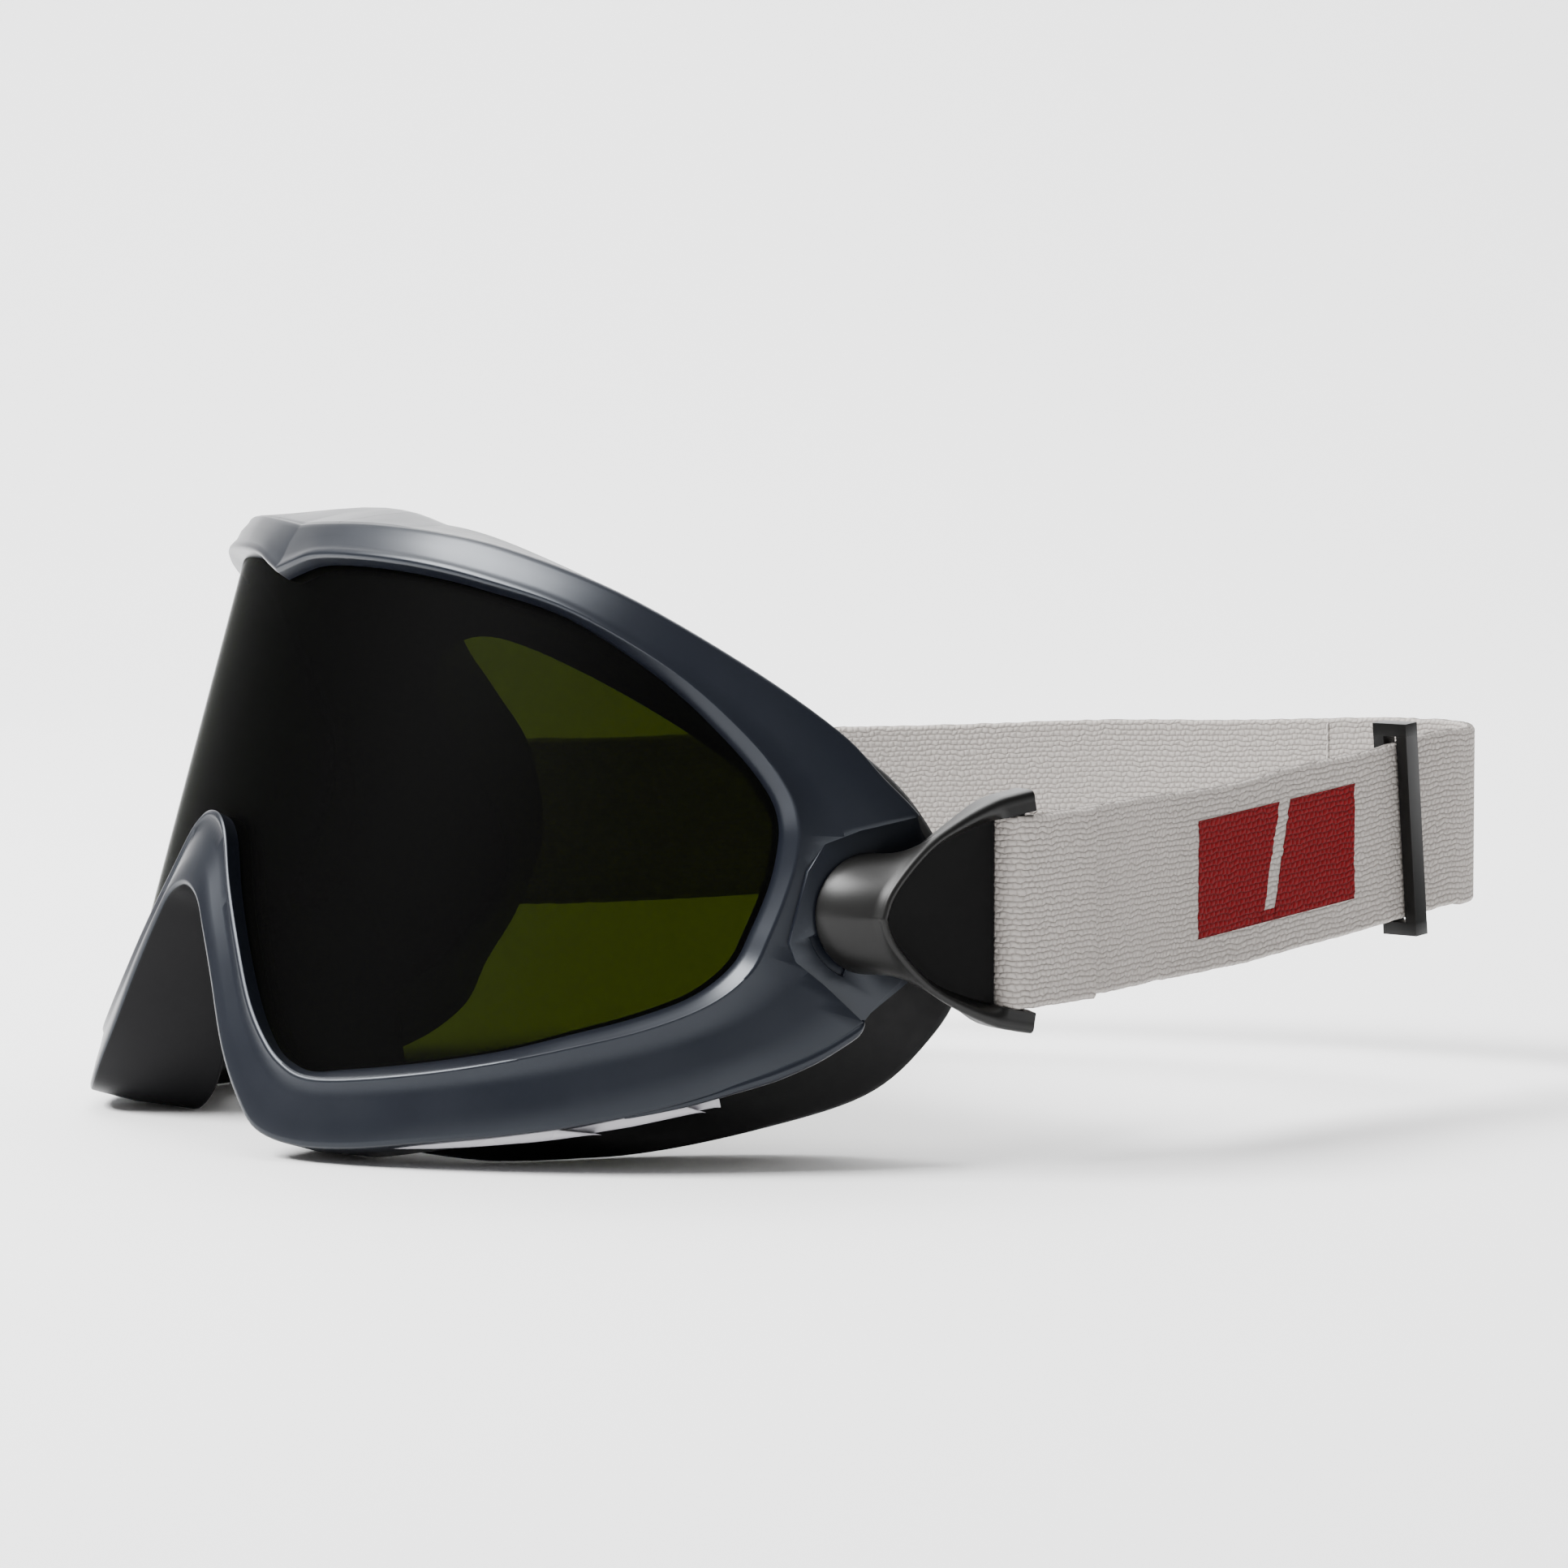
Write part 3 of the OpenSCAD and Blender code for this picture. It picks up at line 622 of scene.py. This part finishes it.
def lens_piece():
    """A curved sheet: a grid of columns between the outline's lower and upper edges."""
    def span(s):
        zs = []
        for (x0, y0), (x1, y1) in zip(rim, np.roll(rim, -1, axis=0)):
            if (x0 > s) != (x1 > s):
                zs.append(y0 + (y1 - y0) * (s - x0) / (x1 - x0))
        return min(zs), max(zs)
    reach = rim[:, 0].max()
    s_values = reach * np.sin(np.linspace(-math.pi / 2, math.pi / 2, 161)) * 0.9995
    levels = np.linspace(0, 1, 9)
    rows = []
    for s in s_values:
        low, high = span(s)
        zs = low + (high - low) * levels
        outer = [(s, z, 0.0) for z in zs]
        inner = [(s, z, -LENS_T) for z in zs[::-1]]
        rows.append([on_lens(*p) for p in outer + inner])
    return loft("lens_filter_sheet", np.array(rows), leaned, close_rows=False, sharp=40)


finish_piece(lens_piece(), LENS_GREEN, "goggle", "lens", "lens")

GASKET = [(-0.2, -2.15), (0.1, -2.1), (1.9, -2.1), (2.0, -3.3), (0.3, -3.5), (-0.6, -3.2), (-0.7, -2.5)]
gasket_rows = [[on_lens(s + nx * d, z + nz * d, h) for d, h in GASKET]
               for (s, z), (nx, nz) in zip(ap, normal)]
gasket = loft("lens_gasket_ring", np.array(gasket_rows), leaned, sharp=60)
finish_piece(gasket, SEAL_BLACK, "goggle", "soft_black", "lens_gasket")

# ---- face seal ------------------------------------------------------------------------------------
# Three points (x, y, z) of each section: at the frame, the outer and the inner edge of the soft lip.
STATIONS = [
    [(0, 5, 39.3), (0, 29, 41.2), (0, 30.5, 34.6)],
    [(22, 8.8, 39.2), (22, 33.5, 39.2), (20, 33.5, 32.3)],
    [(42, 18.2, 37), (38, 45, 35.2), (37, 42, 27.6)],
    [(55.6, 31, 31.2), (50, 57, 31.2), (46, 51, 22.6)],
    [(63, 42, 23.6), (57, 68, 25), (53, 62.5, 16)],
    [(67.6, 50, 13), (62.5, 76, 14), (57.5, 70.5, 8.6)],
    [(67.6, 50, 2), (66, 77, 2.6), (60, 71, 2)],
    [(64, 44, -8), (65.5, 74, -6.6), (58.5, 67, -3.6)],
    [(57, 36.5, -16.6), (61, 70, -14.4), (54, 61.5, -9.4)],
    [(49.6, 29, -22.2), (54.5, 60, -21.8), (48, 52.5, -15.4)],
    [(42, 22.5, -27.2), (50, 46, -28.8), (43, 42, -21.4)],
    [(35, 17, -31.2), (47, 30, -34), (37, 31.5, -26.6)],
    [(28.5, 13, -32.6), (38.5, 19.5, -36), (28.5, 25.5, -28.4)],
    [(22, 10, -29), (29, 17, -35.4), (21.5, 23.5, -25)],
    [(15.5, 8, -21.5), (19, 18, -28), (15, 22.5, -16.4)],
    [(9.5, 6.6, -14.6), (11, 17.5, -20), (9.4, 21, -9.4)],
    [(4.5, 5.8, -10.4), (5, 17, -14.8), (4.6, 19.8, -5)],
    [(0, 5.5, -9), (0, 16.6, -13), (0, 19.4, -3.6)]]
stations = np.array(STATIONS, float).reshape(len(STATIONS), 9)
seal_rows = spline(both_halves(stations, (-1, 1, 1) * 3), 7, closed=True)


def seal_section(row):
    f, o, q = row[0:3], row[3:6], row[6:9]
    back = unit((o + q) / 2 - f)
    inward = unit(q - o)
    return [f, between(f, o, 0.06) - inward * 0.5, between(f, o, 0.35) - inward * 0.55,
            between(f, o, 0.62) - inward * 0.1, between(f, o, 0.82) + inward * 0.15,
            o - back * 0.9 + inward * 0.1, o - inward * 0.35, o - inward * 0.45 + back * 0.9,
            o + inward * 0.1 + back * 1.75, between(o, q, 0.12) + back * 2.0,
            between(o, q, 0.5) + back * 1.7, between(o, q, 0.88) + back * 1.9,
            q + back * 1.4 - inward * 0.2, q + back * 0.7 + inward * 0.15, q + back * 0.1 - inward * 0.3,
            between(q, o, 0.2) - back * 0.1, between(o, q, 0.42) + inward * 1.6 - back * 0.4,
            between(o, q, 0.4) + inward * 1.2 - back * 2.0,
            between(f, between(o, q, 0.4), 0.4) + inward * 2.1, f + inward * 2.2]


seal = loft("face_seal_skirt", np.array([seal_section(r) for r in seal_rows]), on_floor, sharp=75)
finish_piece(seal, SEAL_BLACK, "goggle", "soft_black", "face_seal", "seal_flange")

# ---- strap clips ----------------------------------------------------------------------------------
# Half of the clip's outline (y, z) seen from the side; y runs back from the pivot.
WING = [(-3, 0), (-1.4, 3.8), (3.5, 9), (9, 12.4), (14, 14.6), (17, 15.35), (19.5, 15.8)]
wing_half = spline(WING, 7)
FOOT_R, RIM_TOP, RIM_STEPS = 7.85, 9.12, (0.5, 1.7)


def wing_curve(inset):
    """The clip's outline drawn in by a distance that grows by 0.72 of itself toward the arms' ends."""
    pts = wing_half.copy()
    d = np.gradient(pts, axis=0)
    d /= np.linalg.norm(d, axis=1)[:, None]
    grow = 1 + 0.72 * np.clip((pts[:, 0] - 6) / 9, 0, 1)
    pts = pts + np.stack([d[:, 1], -d[:, 0]], axis=1) * (inset * grow)[:, None]
    pts[0] = (wing_half[0][0] + inset * 1.1, 0)
    low = [(y, -z) for y, z in pts[:0:-1]]
    return np.array(low + [tuple(p) for p in pts])


def clip_shell(side, name):
    """The clip's flared body: a round foot on the temple plate drawn out to the raised rim and its arms."""
    outer = wing_curve(0.0)
    insets = [(0.06, 8.75), (0.2, 9.05), (0.45, 9.18), (0.75, 9.16), (0.98, 8.95), (1.15, 8.5), (1.6, 7.4),
              (1.75, 7.0)]
    inner = [(wing_curve(d), x) for d, x in insets]
    rows = []
    for i, p in enumerate(outer):
        w = min(1.0, max(0.0, (13.2 - p[0]) / 4.5))
        w = w * w * (3 - 2 * w)
        way = p - np.array([1.5, 0.0])
        foot = FOOT_R * way / np.linalg.norm(way)
        row = []
        for t in np.linspace(0, 1, 10):
            flared = foot + (p - foot) * t ** 1.25
            q = p + (flared - p) * w
            x = (0.8 + 7.5 * t ** 0.85) * w + (4.95 + 3.35 * t) * (1 - w)
            row.append((q[0], q[1], x))
        arm = min(1.0, max(0.0, (p[0] - 12.2) / 2.8))
        for (curve, x), depth in zip(inner, insets):
            level_x = RIM_TOP if RIM_STEPS[0] < depth[0] < RIM_STEPS[1] else x
            row.append((curve[i][0], curve[i][1], x + (level_x - x) * arm))
        last = inner[-1][0][i]
        tuck = foot * 0.8 * w + last * (1 - w)
        row.append((tuck[0], tuck[1], 2.0 * w + 4.95 * (1 - w)))
        rows.append([(side * (PLATE_X + x), y, z) for y, z, x in row])
    return loft(name, np.array(rows), level, close_rows=False, sharp=50)


def clip_face(side, name):
    """The dished plate between the arms."""
    inner = wing_curve(1.4)
    keep = inner[inner[:, 0] <= 14.85]
    top = np.array([14.88, keep[-1][1]])
    low = np.array([14.88, keep[0][1]])
    ring = np.concatenate([[low], keep, [top]])
    middle = np.array([8.0, 0.0])
    verts, faces = [], []
    m = len(ring)
    for t, x in ((0.0, 6.95), (0.05, 6.93), (0.35, 6.8), (0.75, 6.72)):
        for p in ring:
            q = p + (middle - p) * t
            verts.append((side * (PLATE_X + x), q[0], q[1]))
    verts.append((side * (PLATE_X + 6.7), middle[0], middle[1]))
    for r in range(3):
        faces += [(r * m + j, r * m + (j + 1) % m, (r + 1) * m + (j + 1) % m, (r + 1) * m + j)
                  for j in range(m)]
    faces += [(3 * m + j, 3 * m + (j + 1) % m, 4 * m) for j in range(m)]
    base = len(verts)
    for p in ring:
        verts.append((side * (PLATE_X + 4.4), p[0], p[1]))
    faces += [(j, (j + 1) % m, base + (j + 1) % m, base + j) for j in range(m)]
    faces.append(tuple(base + j for j in range(m)))
    return make(name, level(verts), faces, 40)


def clip_hub(side, name):
    """The turned foot that sits on the temple plate."""
    profile = [(7.4, 0.3), (7.75, 0.4), (7.86, 0.75), (7.7, 1.2), (7.0, 2.2), (6.0, 4.0)]
    n = 72
    verts = []
    for k in range(n):
        a = 2 * math.pi * k / n
        for r, x in profile:
            verts.append((side * (PLATE_X + x), r * math.cos(a), r * math.sin(a)))
    m = len(profile)
    faces = strip_faces(n, m, True, False)
    verts += [(side * (PLATE_X + 0.3), 0, 0), (side * (PLATE_X + 4.4), 0, 0)]
    for k in range(n):
        faces.append((k * m, ((k + 1) % n) * m, n * m))
        faces.append((k * m + m - 1, ((k + 1) % n) * m + m - 1, n * m + 1))
    return make(name, level(verts), faces, 50)


def turned_bar(side, name):
    """The bar that the webbing folds round."""
    n = 24
    profile = [(BAR_R * 0.8, -BAR_HALF), (BAR_R, -BAR_HALF + 0.3), (BAR_R, BAR_HALF - 0.3),
               (BAR_R * 0.8, BAR_HALF)]
    rows = [[(side * (PLATE_X + BAR_X + r * math.cos(a)), BAR_Y + r * math.sin(a), z) for r, z in profile]
            for a in np.linspace(0, 2 * math.pi, n, endpoint=False)]
    verts = np.array(rows).reshape(-1, 3)
    m = len(profile)
    faces = strip_faces(n, m, True, False)
    faces += [tuple(k * m for k in range(n)), tuple(k * m + m - 1 for k in reversed(range(n)))]
    return make(name, level(verts), faces, 40)


for side, word in ((1, "left"), (-1, "right")):
    finish_piece(clip_shell(side, f"clip_shell_{word}"), CLIP_BLACK, "headband", "clip_black",
                 f"strap_clip_{word}")
    finish_piece(clip_face(side, f"clip_face_{word}"), FACE_BLACK, "headband", "clip_black")
    lip = [(side * (PLATE_X + 1.9), 13.2, -11.9), (side * (PLATE_X + 1.9), 16.4, -11.9),
           (side * (PLATE_X + 1.9), 16.4, 11.9), (side * (PLATE_X + 1.9), 13.2, 11.9)]
    back_lip = prism(f"clip_lip_{word}", lip, (side * 0.7, 0, 0), level)
    finish_piece(bake(bevel(back_lip, 0.25, 2), 40), FACE_BLACK, "headband", "clip_black")
    finish_piece(clip_hub(side, f"clip_hub_{word}"), CLIP_BLACK, "headband", "clip_black")
    finish_piece(turned_bar(side, f"clip_bar_{word}"), CLIP_BLACK, "headband", "clip_black")

# ---- webbing --------------------------------------------------------------------------------------
WEB_W, WEB_T = 25.0, 1.4
RUN_ANGLE = math.radians(18.4)
RUN_DIR = np.array([-math.sin(RUN_ANGLE), math.cos(RUN_ANGLE)])
RUN_START = np.array([60.0, 58.8])
RUN_RISE, RUN_Z0, RUN_LENGTH = 0.096, 0.4, 55.0


def on_run(s):
    """A point of the near straight run, s from its start at the clip."""
    return np.array([*(RUN_START + s * RUN_DIR), RUN_Z0 + s * RUN_RISE])


def wrap(side, a0, a1, n=14):
    """The webbing's turn round a clip's bar, from angle a0 to a1."""
    r = BAR_R + WEB_T / 2 + 0.1
    return [(side * (PLATE_X + BAR_X + r * math.cos(a)), BAR_Y + r * math.sin(a), 0.0)
            for a in np.radians(np.linspace(a0, a1, n + 1))]


NEAR_FLAP = [(77.7, 32.6, 0), (79.7, 27.9, 0), (82.6, 22.6, 0)]
NEAR_LEAD = [(79.1, 23, 0), (77.4, 27, 0), (75.6, 31.4, 0), (70.6, 40.6, 0.1), (65, 49.4, 0.2)]
CORNER = [(40.6, 115.6, 5.6), (37.6, 119.6, 5.8), (32, 121.6, 6), (24, 121.2, 5.9)]
FAR_RUN = [(8, 116.2, 5.2), (-10, 108.4, 4.3), (-28, 98, 3.4), (-44, 85.2, 2.5), (-58, 70.6, 1.5),
           (-69, 52, 0.6), (-73.2, 40.6, 0.2)]
FAR_LEAD = [(-75.6, 31.4, 0), (-77.4, 27, 0), (-79.1, 23, 0)]
FAR_FLAP = [(-82.6, 22.6, 0), (-79.5, 27.8, 0), (-77.3, 32.4, 0)]
run_points = [tuple(on_run(s)) for s in (0, RUN_LENGTH * 0.5, RUN_LENGTH)]
path = np.concatenate([
    spline(NEAR_FLAP, 8), wrap(1, 35, -180),
    spline(NEAR_LEAD + run_points + CORNER + FAR_RUN + FAR_LEAD, 14),
    wrap(-1, -180, 35), spline(FAR_FLAP, 8)])


def resampled(points, step):
    d = np.concatenate([[0], np.cumsum(np.linalg.norm(np.diff(points, axis=0), axis=1))])
    keep = np.concatenate([[True], np.diff(d) > 1e-6])
    points, d = points[keep], d[keep]
    n = int(round(d[-1] / step)) + 1
    at = np.linspace(0, d[-1], n)
    return np.stack([np.interp(at, d, points[:, k]) for k in range(3)], axis=1), at


line, arc = resampled(path, 0.6)
for _ in range(2):
    line[1:-1] = (line[:-2] + 2 * line[1:-1] + line[2:]) / 4
BAND_LENGTH = arc[-1]
side_way = np.gradient(line[:, :2], axis=0)
side_way /= np.linalg.norm(side_way, axis=1)[:, None]
out_way = np.stack([side_way[:, 1], -side_way[:, 0], np.zeros(len(line))], axis=1)
free = np.clip((arc - 34) / 12, 0, 1) * np.clip((BAND_LENGTH - 34 - arc) / 12, 0, 1)
run_zero = arc[int(np.argmin(np.linalg.norm(line - on_run(0), axis=1)))]
on_near = arc - run_zero


def edge_drift(table):
    """How far an edge of the webbing strays along the near run, smoothed over 11 points."""
    return np.convolve(np.pad(in_table(table, on_near), 5, mode="edge"), np.ones(11) / 11, mode="valid")


top_wave = edge_drift([(-14, 0), (-4, -0.1), (4, -0.35), (12, -0.62), (18, -0.12), (26, -0.2), (36, -0.5),
                       (42, -0.45), (50, 0.05), (58, 0)])
low_wave = edge_drift([(-14, 0), (-4, 0.05), (12, -0.5), (22, -0.38), (34, -0.45), (46, -0.15), (56, 0)])
sag = free * 0.12 * np.sin(arc * 0.13) * (on_near > 70)
line_z = line[:, 2] + sag

RIBS = 32


def web_section(i, across, lift):
    """A point on the band's face: lift is from its middle surface outward."""
    flat = line[i] * np.array([1, 1, 0])
    return flat + np.array([0, 0, line_z[i]]) + out_way[i] * lift + np.array([0, 0, across])


def web_rows():
    steps = np.linspace(-1, 1, RIBS * 3 + 1)
    rows, uvs = [], []
    rng = np.random.default_rng(7)
    edge_wave = 0.07 * np.convolve(rng.normal(size=len(line)), np.ones(3) / 3, mode="same")
    for i in range(len(line)):
        half_w = WEB_W / 2 + edge_wave[i]
        middle, spare = (top_wave[i] + low_wave[i]) / 2, (top_wave[i] - low_wave[i]) / 2
        row, uv = [], []
        for way in (1, -1):
            for t in (steps if way > 0 else steps[::-1]):
                rib = 0.035 * abs(math.cos(t * RIBS * math.pi / 2))
                thin = WEB_T / 2 - 0.04 - 0.35 * max(0.0, abs(t) - 0.965) / 0.035
                row.append(web_section(i, t * (half_w + spare) + middle, way * (thin + rib)))
                uv.append((arc[i], t * WEB_W / 2 + (0 if way > 0 else 60.0)))
        rows.append(row)
        uvs.extend(uv)
    return np.array(rows), uvs


rows, uvs = web_rows()
band = loft("headband_elastic", rows, level, close_rows=False, sharp=80, uvs=uvs)
finish_piece(band, WEB_PALE, "headband", "webbing", "headband_webbing")



# Stitches through each folded end, standing on the outer face of the flap.
def capsule(verts, faces, a, b, radius, bulge, n=8):
    """Adds one stitch from a to b, arched toward bulge."""
    a, b = np.asarray(a, float), np.asarray(b, float)
    d = b - a
    length = np.linalg.norm(d)
    d = d / length
    u = np.cross(d, (0, 0, 1.0)) if abs(d[2]) < 0.9 else np.cross(d, (1.0, 0, 0))
    u /= np.linalg.norm(u)
    v = np.cross(d, u)
    rings = [(0.0, 0.35), (0.12, 0.8), (0.3, 1.0), (0.7, 1.0), (0.88, 0.8), (1.0, 0.35)]
    base = len(verts)
    for t, r in rings:
        arch = radius * 0.9 * math.sin(t * math.pi)
        for k in range(n):
            w = 2 * math.pi * k / n
            ring = (u * math.cos(w) + v * math.sin(w)) * radius * r
            verts.append(a + d * length * t + ring + bulge * arch)
    for i in range(len(rings) - 1):
        for k in range(n):
            faces.append((base + i * n + k, base + i * n + (k + 1) % n, base + (i + 1) * n + (k + 1) % n,
                          base + (i + 1) * n + k))
    faces.append(tuple(base + k for k in reversed(range(n))))
    faces.append(tuple(base + (len(rings) - 1) * n + k for k in range(n)))


def stitch_row(name, at_mm, far_side):
    """A zigzag bar of stitches across the band, a distance in from its cut end."""
    verts, faces = [], []
    pitch = 1.55
    count = int(22.4 / pitch)
    for k in range(count):
        z0 = -11.2 + k * pitch
        lean_mm = 0.7 if k % 2 else -0.7
        ends = []
        for dz, shift in ((0.1, -lean_mm), (pitch - 0.1, lean_mm)):
            place = at_mm + shift
            place = BAND_LENGTH - place if far_side else place
            i = int(np.clip(np.searchsorted(arc, place), 0, len(arc) - 1))
            ends.append(web_section(i, z0 + dz, WEB_T / 2))
        capsule(verts, faces, ends[0], ends[1], 0.16, out_way[i])
    return make(name, level(verts), faces, 60)


finish_piece(stitch_row("stitches_left", 1.5, False), THREAD, "headband", "thread", "end_stitching_left")
finish_piece(stitch_row("stitches_right", 2.2, True), THREAD, "headband", "thread", "end_stitching_right")

# Printed mark: a plain block with a slanted gap, laid on the ribs of the near run.
PRINT_AT, PRINT_L, PRINT_H = 18.0, 34.0, 16.0


def print_patch(name, s0, s1, slant, taper_side, v0=-1.0, v1=1.0):
    """One part of the mark, from s0 to s1 along the band and v0 to v1 across it."""
    cols = np.linspace(0, 1, 34)
    levels = np.linspace(v0, v1, 34)
    rng = np.random.default_rng(11 + int(s0))
    verts, faces, uvs2 = [], [], []
    n, m = len(cols), len(levels)
    rough = rng.normal(scale=0.10, size=(m, 2))
    for lift in (0.09, -0.25):
        for c in cols:
            for li, v in enumerate(levels):
                left = s0 + ("left" in taper_side) * slant * v + ("ragged" in taper_side) * rough[li, 0]
                right = s1 + ("right" in taper_side) * slant * v + ("ragged" in taper_side) * rough[li, 1]
                s = left + (right - left) * c
                z = v * PRINT_H / 2
                target = run_zero + s
                i = int(np.clip(np.searchsorted(arc, target), 1, len(arc) - 1))
                f = (target - arc[i - 1]) / (arc[i] - arc[i - 1])
                a = web_section(i - 1, z, WEB_T / 2 + lift)
                b = web_section(i, z, WEB_T / 2 + lift)
                verts.append(a + (b - a) * f)
                uvs2.append((target, z))
    for layer in range(2):
        off = layer * n * m
        for i in range(n - 1):
            for j in range(m - 1):
                q = (off + i * m + j, off + i * m + j + 1, off + (i + 1) * m + j + 1, off + (i + 1) * m + j)
                faces.append(q if layer else q[::-1])
    o = n * m
    for i in range(n - 1):
        faces += [(i * m, (i + 1) * m, o + (i + 1) * m, o + i * m),
                  (i * m + m - 1, o + i * m + m - 1, o + (i + 1) * m + m - 1, (i + 1) * m + m - 1)]
    for j in range(m - 1):
        faces += [(j, o + j, o + j + 1, j + 1),
                  ((n - 1) * m + j, (n - 1) * m + j + 1, o + (n - 1) * m + j + 1, o + (n - 1) * m + j)]
    return make(name, level(verts), faces, 80, uvs2)


lo = PRINT_AT - PRINT_L / 2
hi = PRINT_AT + PRINT_L / 2
first = print_patch("print_block_a", lo, lo + 15.6, 1.8, "right ragged")
second = print_patch("print_block_b", lo + 18.0, hi, 1.8, "left ragged")
third = print_patch("print_block_c", lo + 15.3, lo + 18.3, 1.8, "left right", -1.0, -0.8)
finish_piece(first, WEB_RED, "headband", "print", "band_print")
finish_piece(second, WEB_RED, "headband", "print")
finish_piece(third, WEB_RED, "headband", "print")


def seam_piece():
    """The row of stitches across the band's inner face, behind the head."""
    verts, faces = [], []
    target = np.array([7.6, 114.9, 5.2])
    i = int(np.argmin(np.linalg.norm(line - target, axis=1)))
    for k in range(16):
        z0 = -11.9 + k * 1.5
        a = web_section(i, z0, -(WEB_T / 2 + 0.02))
        b = web_section(i, z0 + 1.25, -(WEB_T / 2 + 0.02))
        capsule(verts, faces, a, b, 0.17, -out_way[i])
    return make("back_seam", level(verts), faces, 60)


finish_piece(seam_piece(), THREAD, "headband", "thread", "band_seam")

# ---- slider ---------------------------------------------------------------------------------------
SLIDER_AT, SLIDER_GAP, BAR_T, SLIDER_L, SLIDER_H = 46.0, 0.4, 1.8, 2.6, 30.0


def slider_place(points):
    """From the slider's own axes to its place on the near run."""
    p = np.asarray(points, float)
    tilt = math.atan(RUN_RISE)
    spin = (Matrix.Rotation(RUN_ANGLE, 3, "Z") @ Matrix.Rotation(tilt, 3, "X"))
    r = np.array(spin)
    return level(p @ r.T + on_run(SLIDER_AT))


def box_points(x0, x1, y0, y1, z0, z1):
    return [(x0, y0, z0), (x1, y0, z0), (x1, y1, z0), (x0, y1, z0)], (0, 0, z1 - z0)


def slider_piece():
    """A flat loop of two bars and two ends round the webbing."""
    x_in = -WEB_T / 2 - SLIDER_GAP - BAR_T
    x_out = WEB_T / 2 + SLIDER_GAP
    parts = []
    end_t = SLIDER_H / 2 - WEB_W / 2 - 0.7
    for z0 in (WEB_W / 2 + 0.7, -SLIDER_H / 2):
        parts.append(box_points(x_in, x_out + BAR_T, -SLIDER_L / 2, SLIDER_L / 2, z0, z0 + end_t))
    for x0 in (x_in, x_out):
        parts.append(box_points(x0 + 0.01, x0 + BAR_T - 0.01, 0.01 - SLIDER_L / 2, SLIDER_L / 2 - 0.01,
                                -SLIDER_H / 2 + 0.2, SLIDER_H / 2 - 0.2))
    whole = prism("slider_buckle", parts[0][0], parts[0][1], slider_place)
    for outline, depth in parts[1:]:
        whole = boolean(whole, prism("tool", outline, depth, slider_place), "UNION")
    return bake(bevel(whole, 0.5, 3, 50), 45)


finish_piece(slider_piece(), CLIP_BLACK, "slider", "clip_black", "band_slider")

# ---- CAD nodes that stay as they are --------------------------------------------------------------
KEPT = {"pivot_pin_left": PIN_BLACK, "pivot_pin_right": PIN_BLACK,
        "pivot_washer_left": PIN_BLACK, "pivot_washer_right": PIN_BLACK}
for name, material in KEPT.items():
    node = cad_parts[name]
    for slot in node.material_slots:
        slot.material = material
    w = node.modifiers.new("join_points", "WELD")
    w.merge_threshold = 0.00001
    bevel(node, 0.2, 2, 40)

# ---- floor, light and camera ----------------------------------------------------------------------
def sweep_backdrop():
    """A pale floor that curves up into a wall behind the object, seen from the camera."""
    away = np.array([-math.sin(AZIMUTH), math.cos(AZIMUTH)])
    across = np.array([math.cos(AZIMUTH), math.sin(AZIMUTH)])
    section = [(-3.5, 0.0), (-1.0, 0.0), (0.9, 0.0)]
    section += [(0.9 + 0.7 * math.sin(a), 0.7 - 0.7 * math.cos(a)) for a in np.linspace(0.1, math.pi / 2, 14)]
    section += [(1.6, 2.8)]
    verts, faces = [], []
    for w in (-4.0, 4.0):
        for d, h in section:
            p = away * d + across * w
            verts.append((p[0] * 1000, p[1] * 1000, h * 1000 - 0.05))
    m = len(section)
    for j in range(m - 1):
        faces.append((j, j + 1, m + j + 1, m + j))
    obj = make("studio_floor", np.array(verts), faces, 80)
    n = Nodes("floor_paper")
    paper = (0.93, 0.93, 0.935), (0.955, 0.955, 0.955)
    n.set(Base_Color=n.mix(n.spread(n.noise(3.0, 4.0), 0.3, 0.7), *paper))
    n.shader.inputs["Roughness"].default_value = 0.85
    obj.data.materials.append(n.mat)
    return obj


sweep_backdrop()

world = bpy.data.worlds.new("studio")
bpy.context.scene.world = world
world.use_nodes = True
world.node_tree.nodes["Background"].inputs[0].default_value = (1.0, 1.0, 1.0, 1.0)
world.node_tree.nodes["Background"].inputs[1].default_value = 0.35


LIGHTS = (("light_top", (-0.35, 0.2, 1.2), (0, 0, 0.04), 1.7, 1.3, 25),
          ("light_wall", (-0.95, 0.3, 1.5), (-1.7, 0.9, 0.3), 1.6, 0.8, 34),
          ("light_key", (-0.20, -0.86, 0.94), (0, -0.02, 0.05), 0.82, 0.42, 46))
for name, place, target, size, size_y, power in LIGHTS:
    data = bpy.data.lights.new(name, "AREA")
    data.energy = power
    data.size = size
    data.shape = "RECTANGLE"
    data.size_y = size_y
    obj = bpy.data.objects.new(name, data)
    bpy.context.scene.collection.objects.link(obj)
    obj.location = place
    obj.rotation_euler = (Vector(target) - Vector(place)).to_track_quat("-Z", "Y").to_euler()

toward = Vector((-math.sin(AZIMUTH) * math.cos(ELEVATION), math.cos(AZIMUTH) * math.cos(ELEVATION),
                 -math.sin(ELEVATION)))
camera_data = bpy.data.cameras.new("camera")
camera_data.sensor_width = 36.0
camera_data.lens = 148.7
camera_data.shift_y = 0.0176
camera_data.clip_start = 0.01
camera = bpy.data.objects.new("camera", camera_data)
bpy.context.scene.collection.objects.link(camera)
camera.location = (0.7988, -0.3482 + REST_Y / 1000, 0.0699 + REST_Z / 1000)
camera.rotation_euler = toward.to_track_quat("-Z", "Y").to_euler()
bpy.context.scene.camera = camera
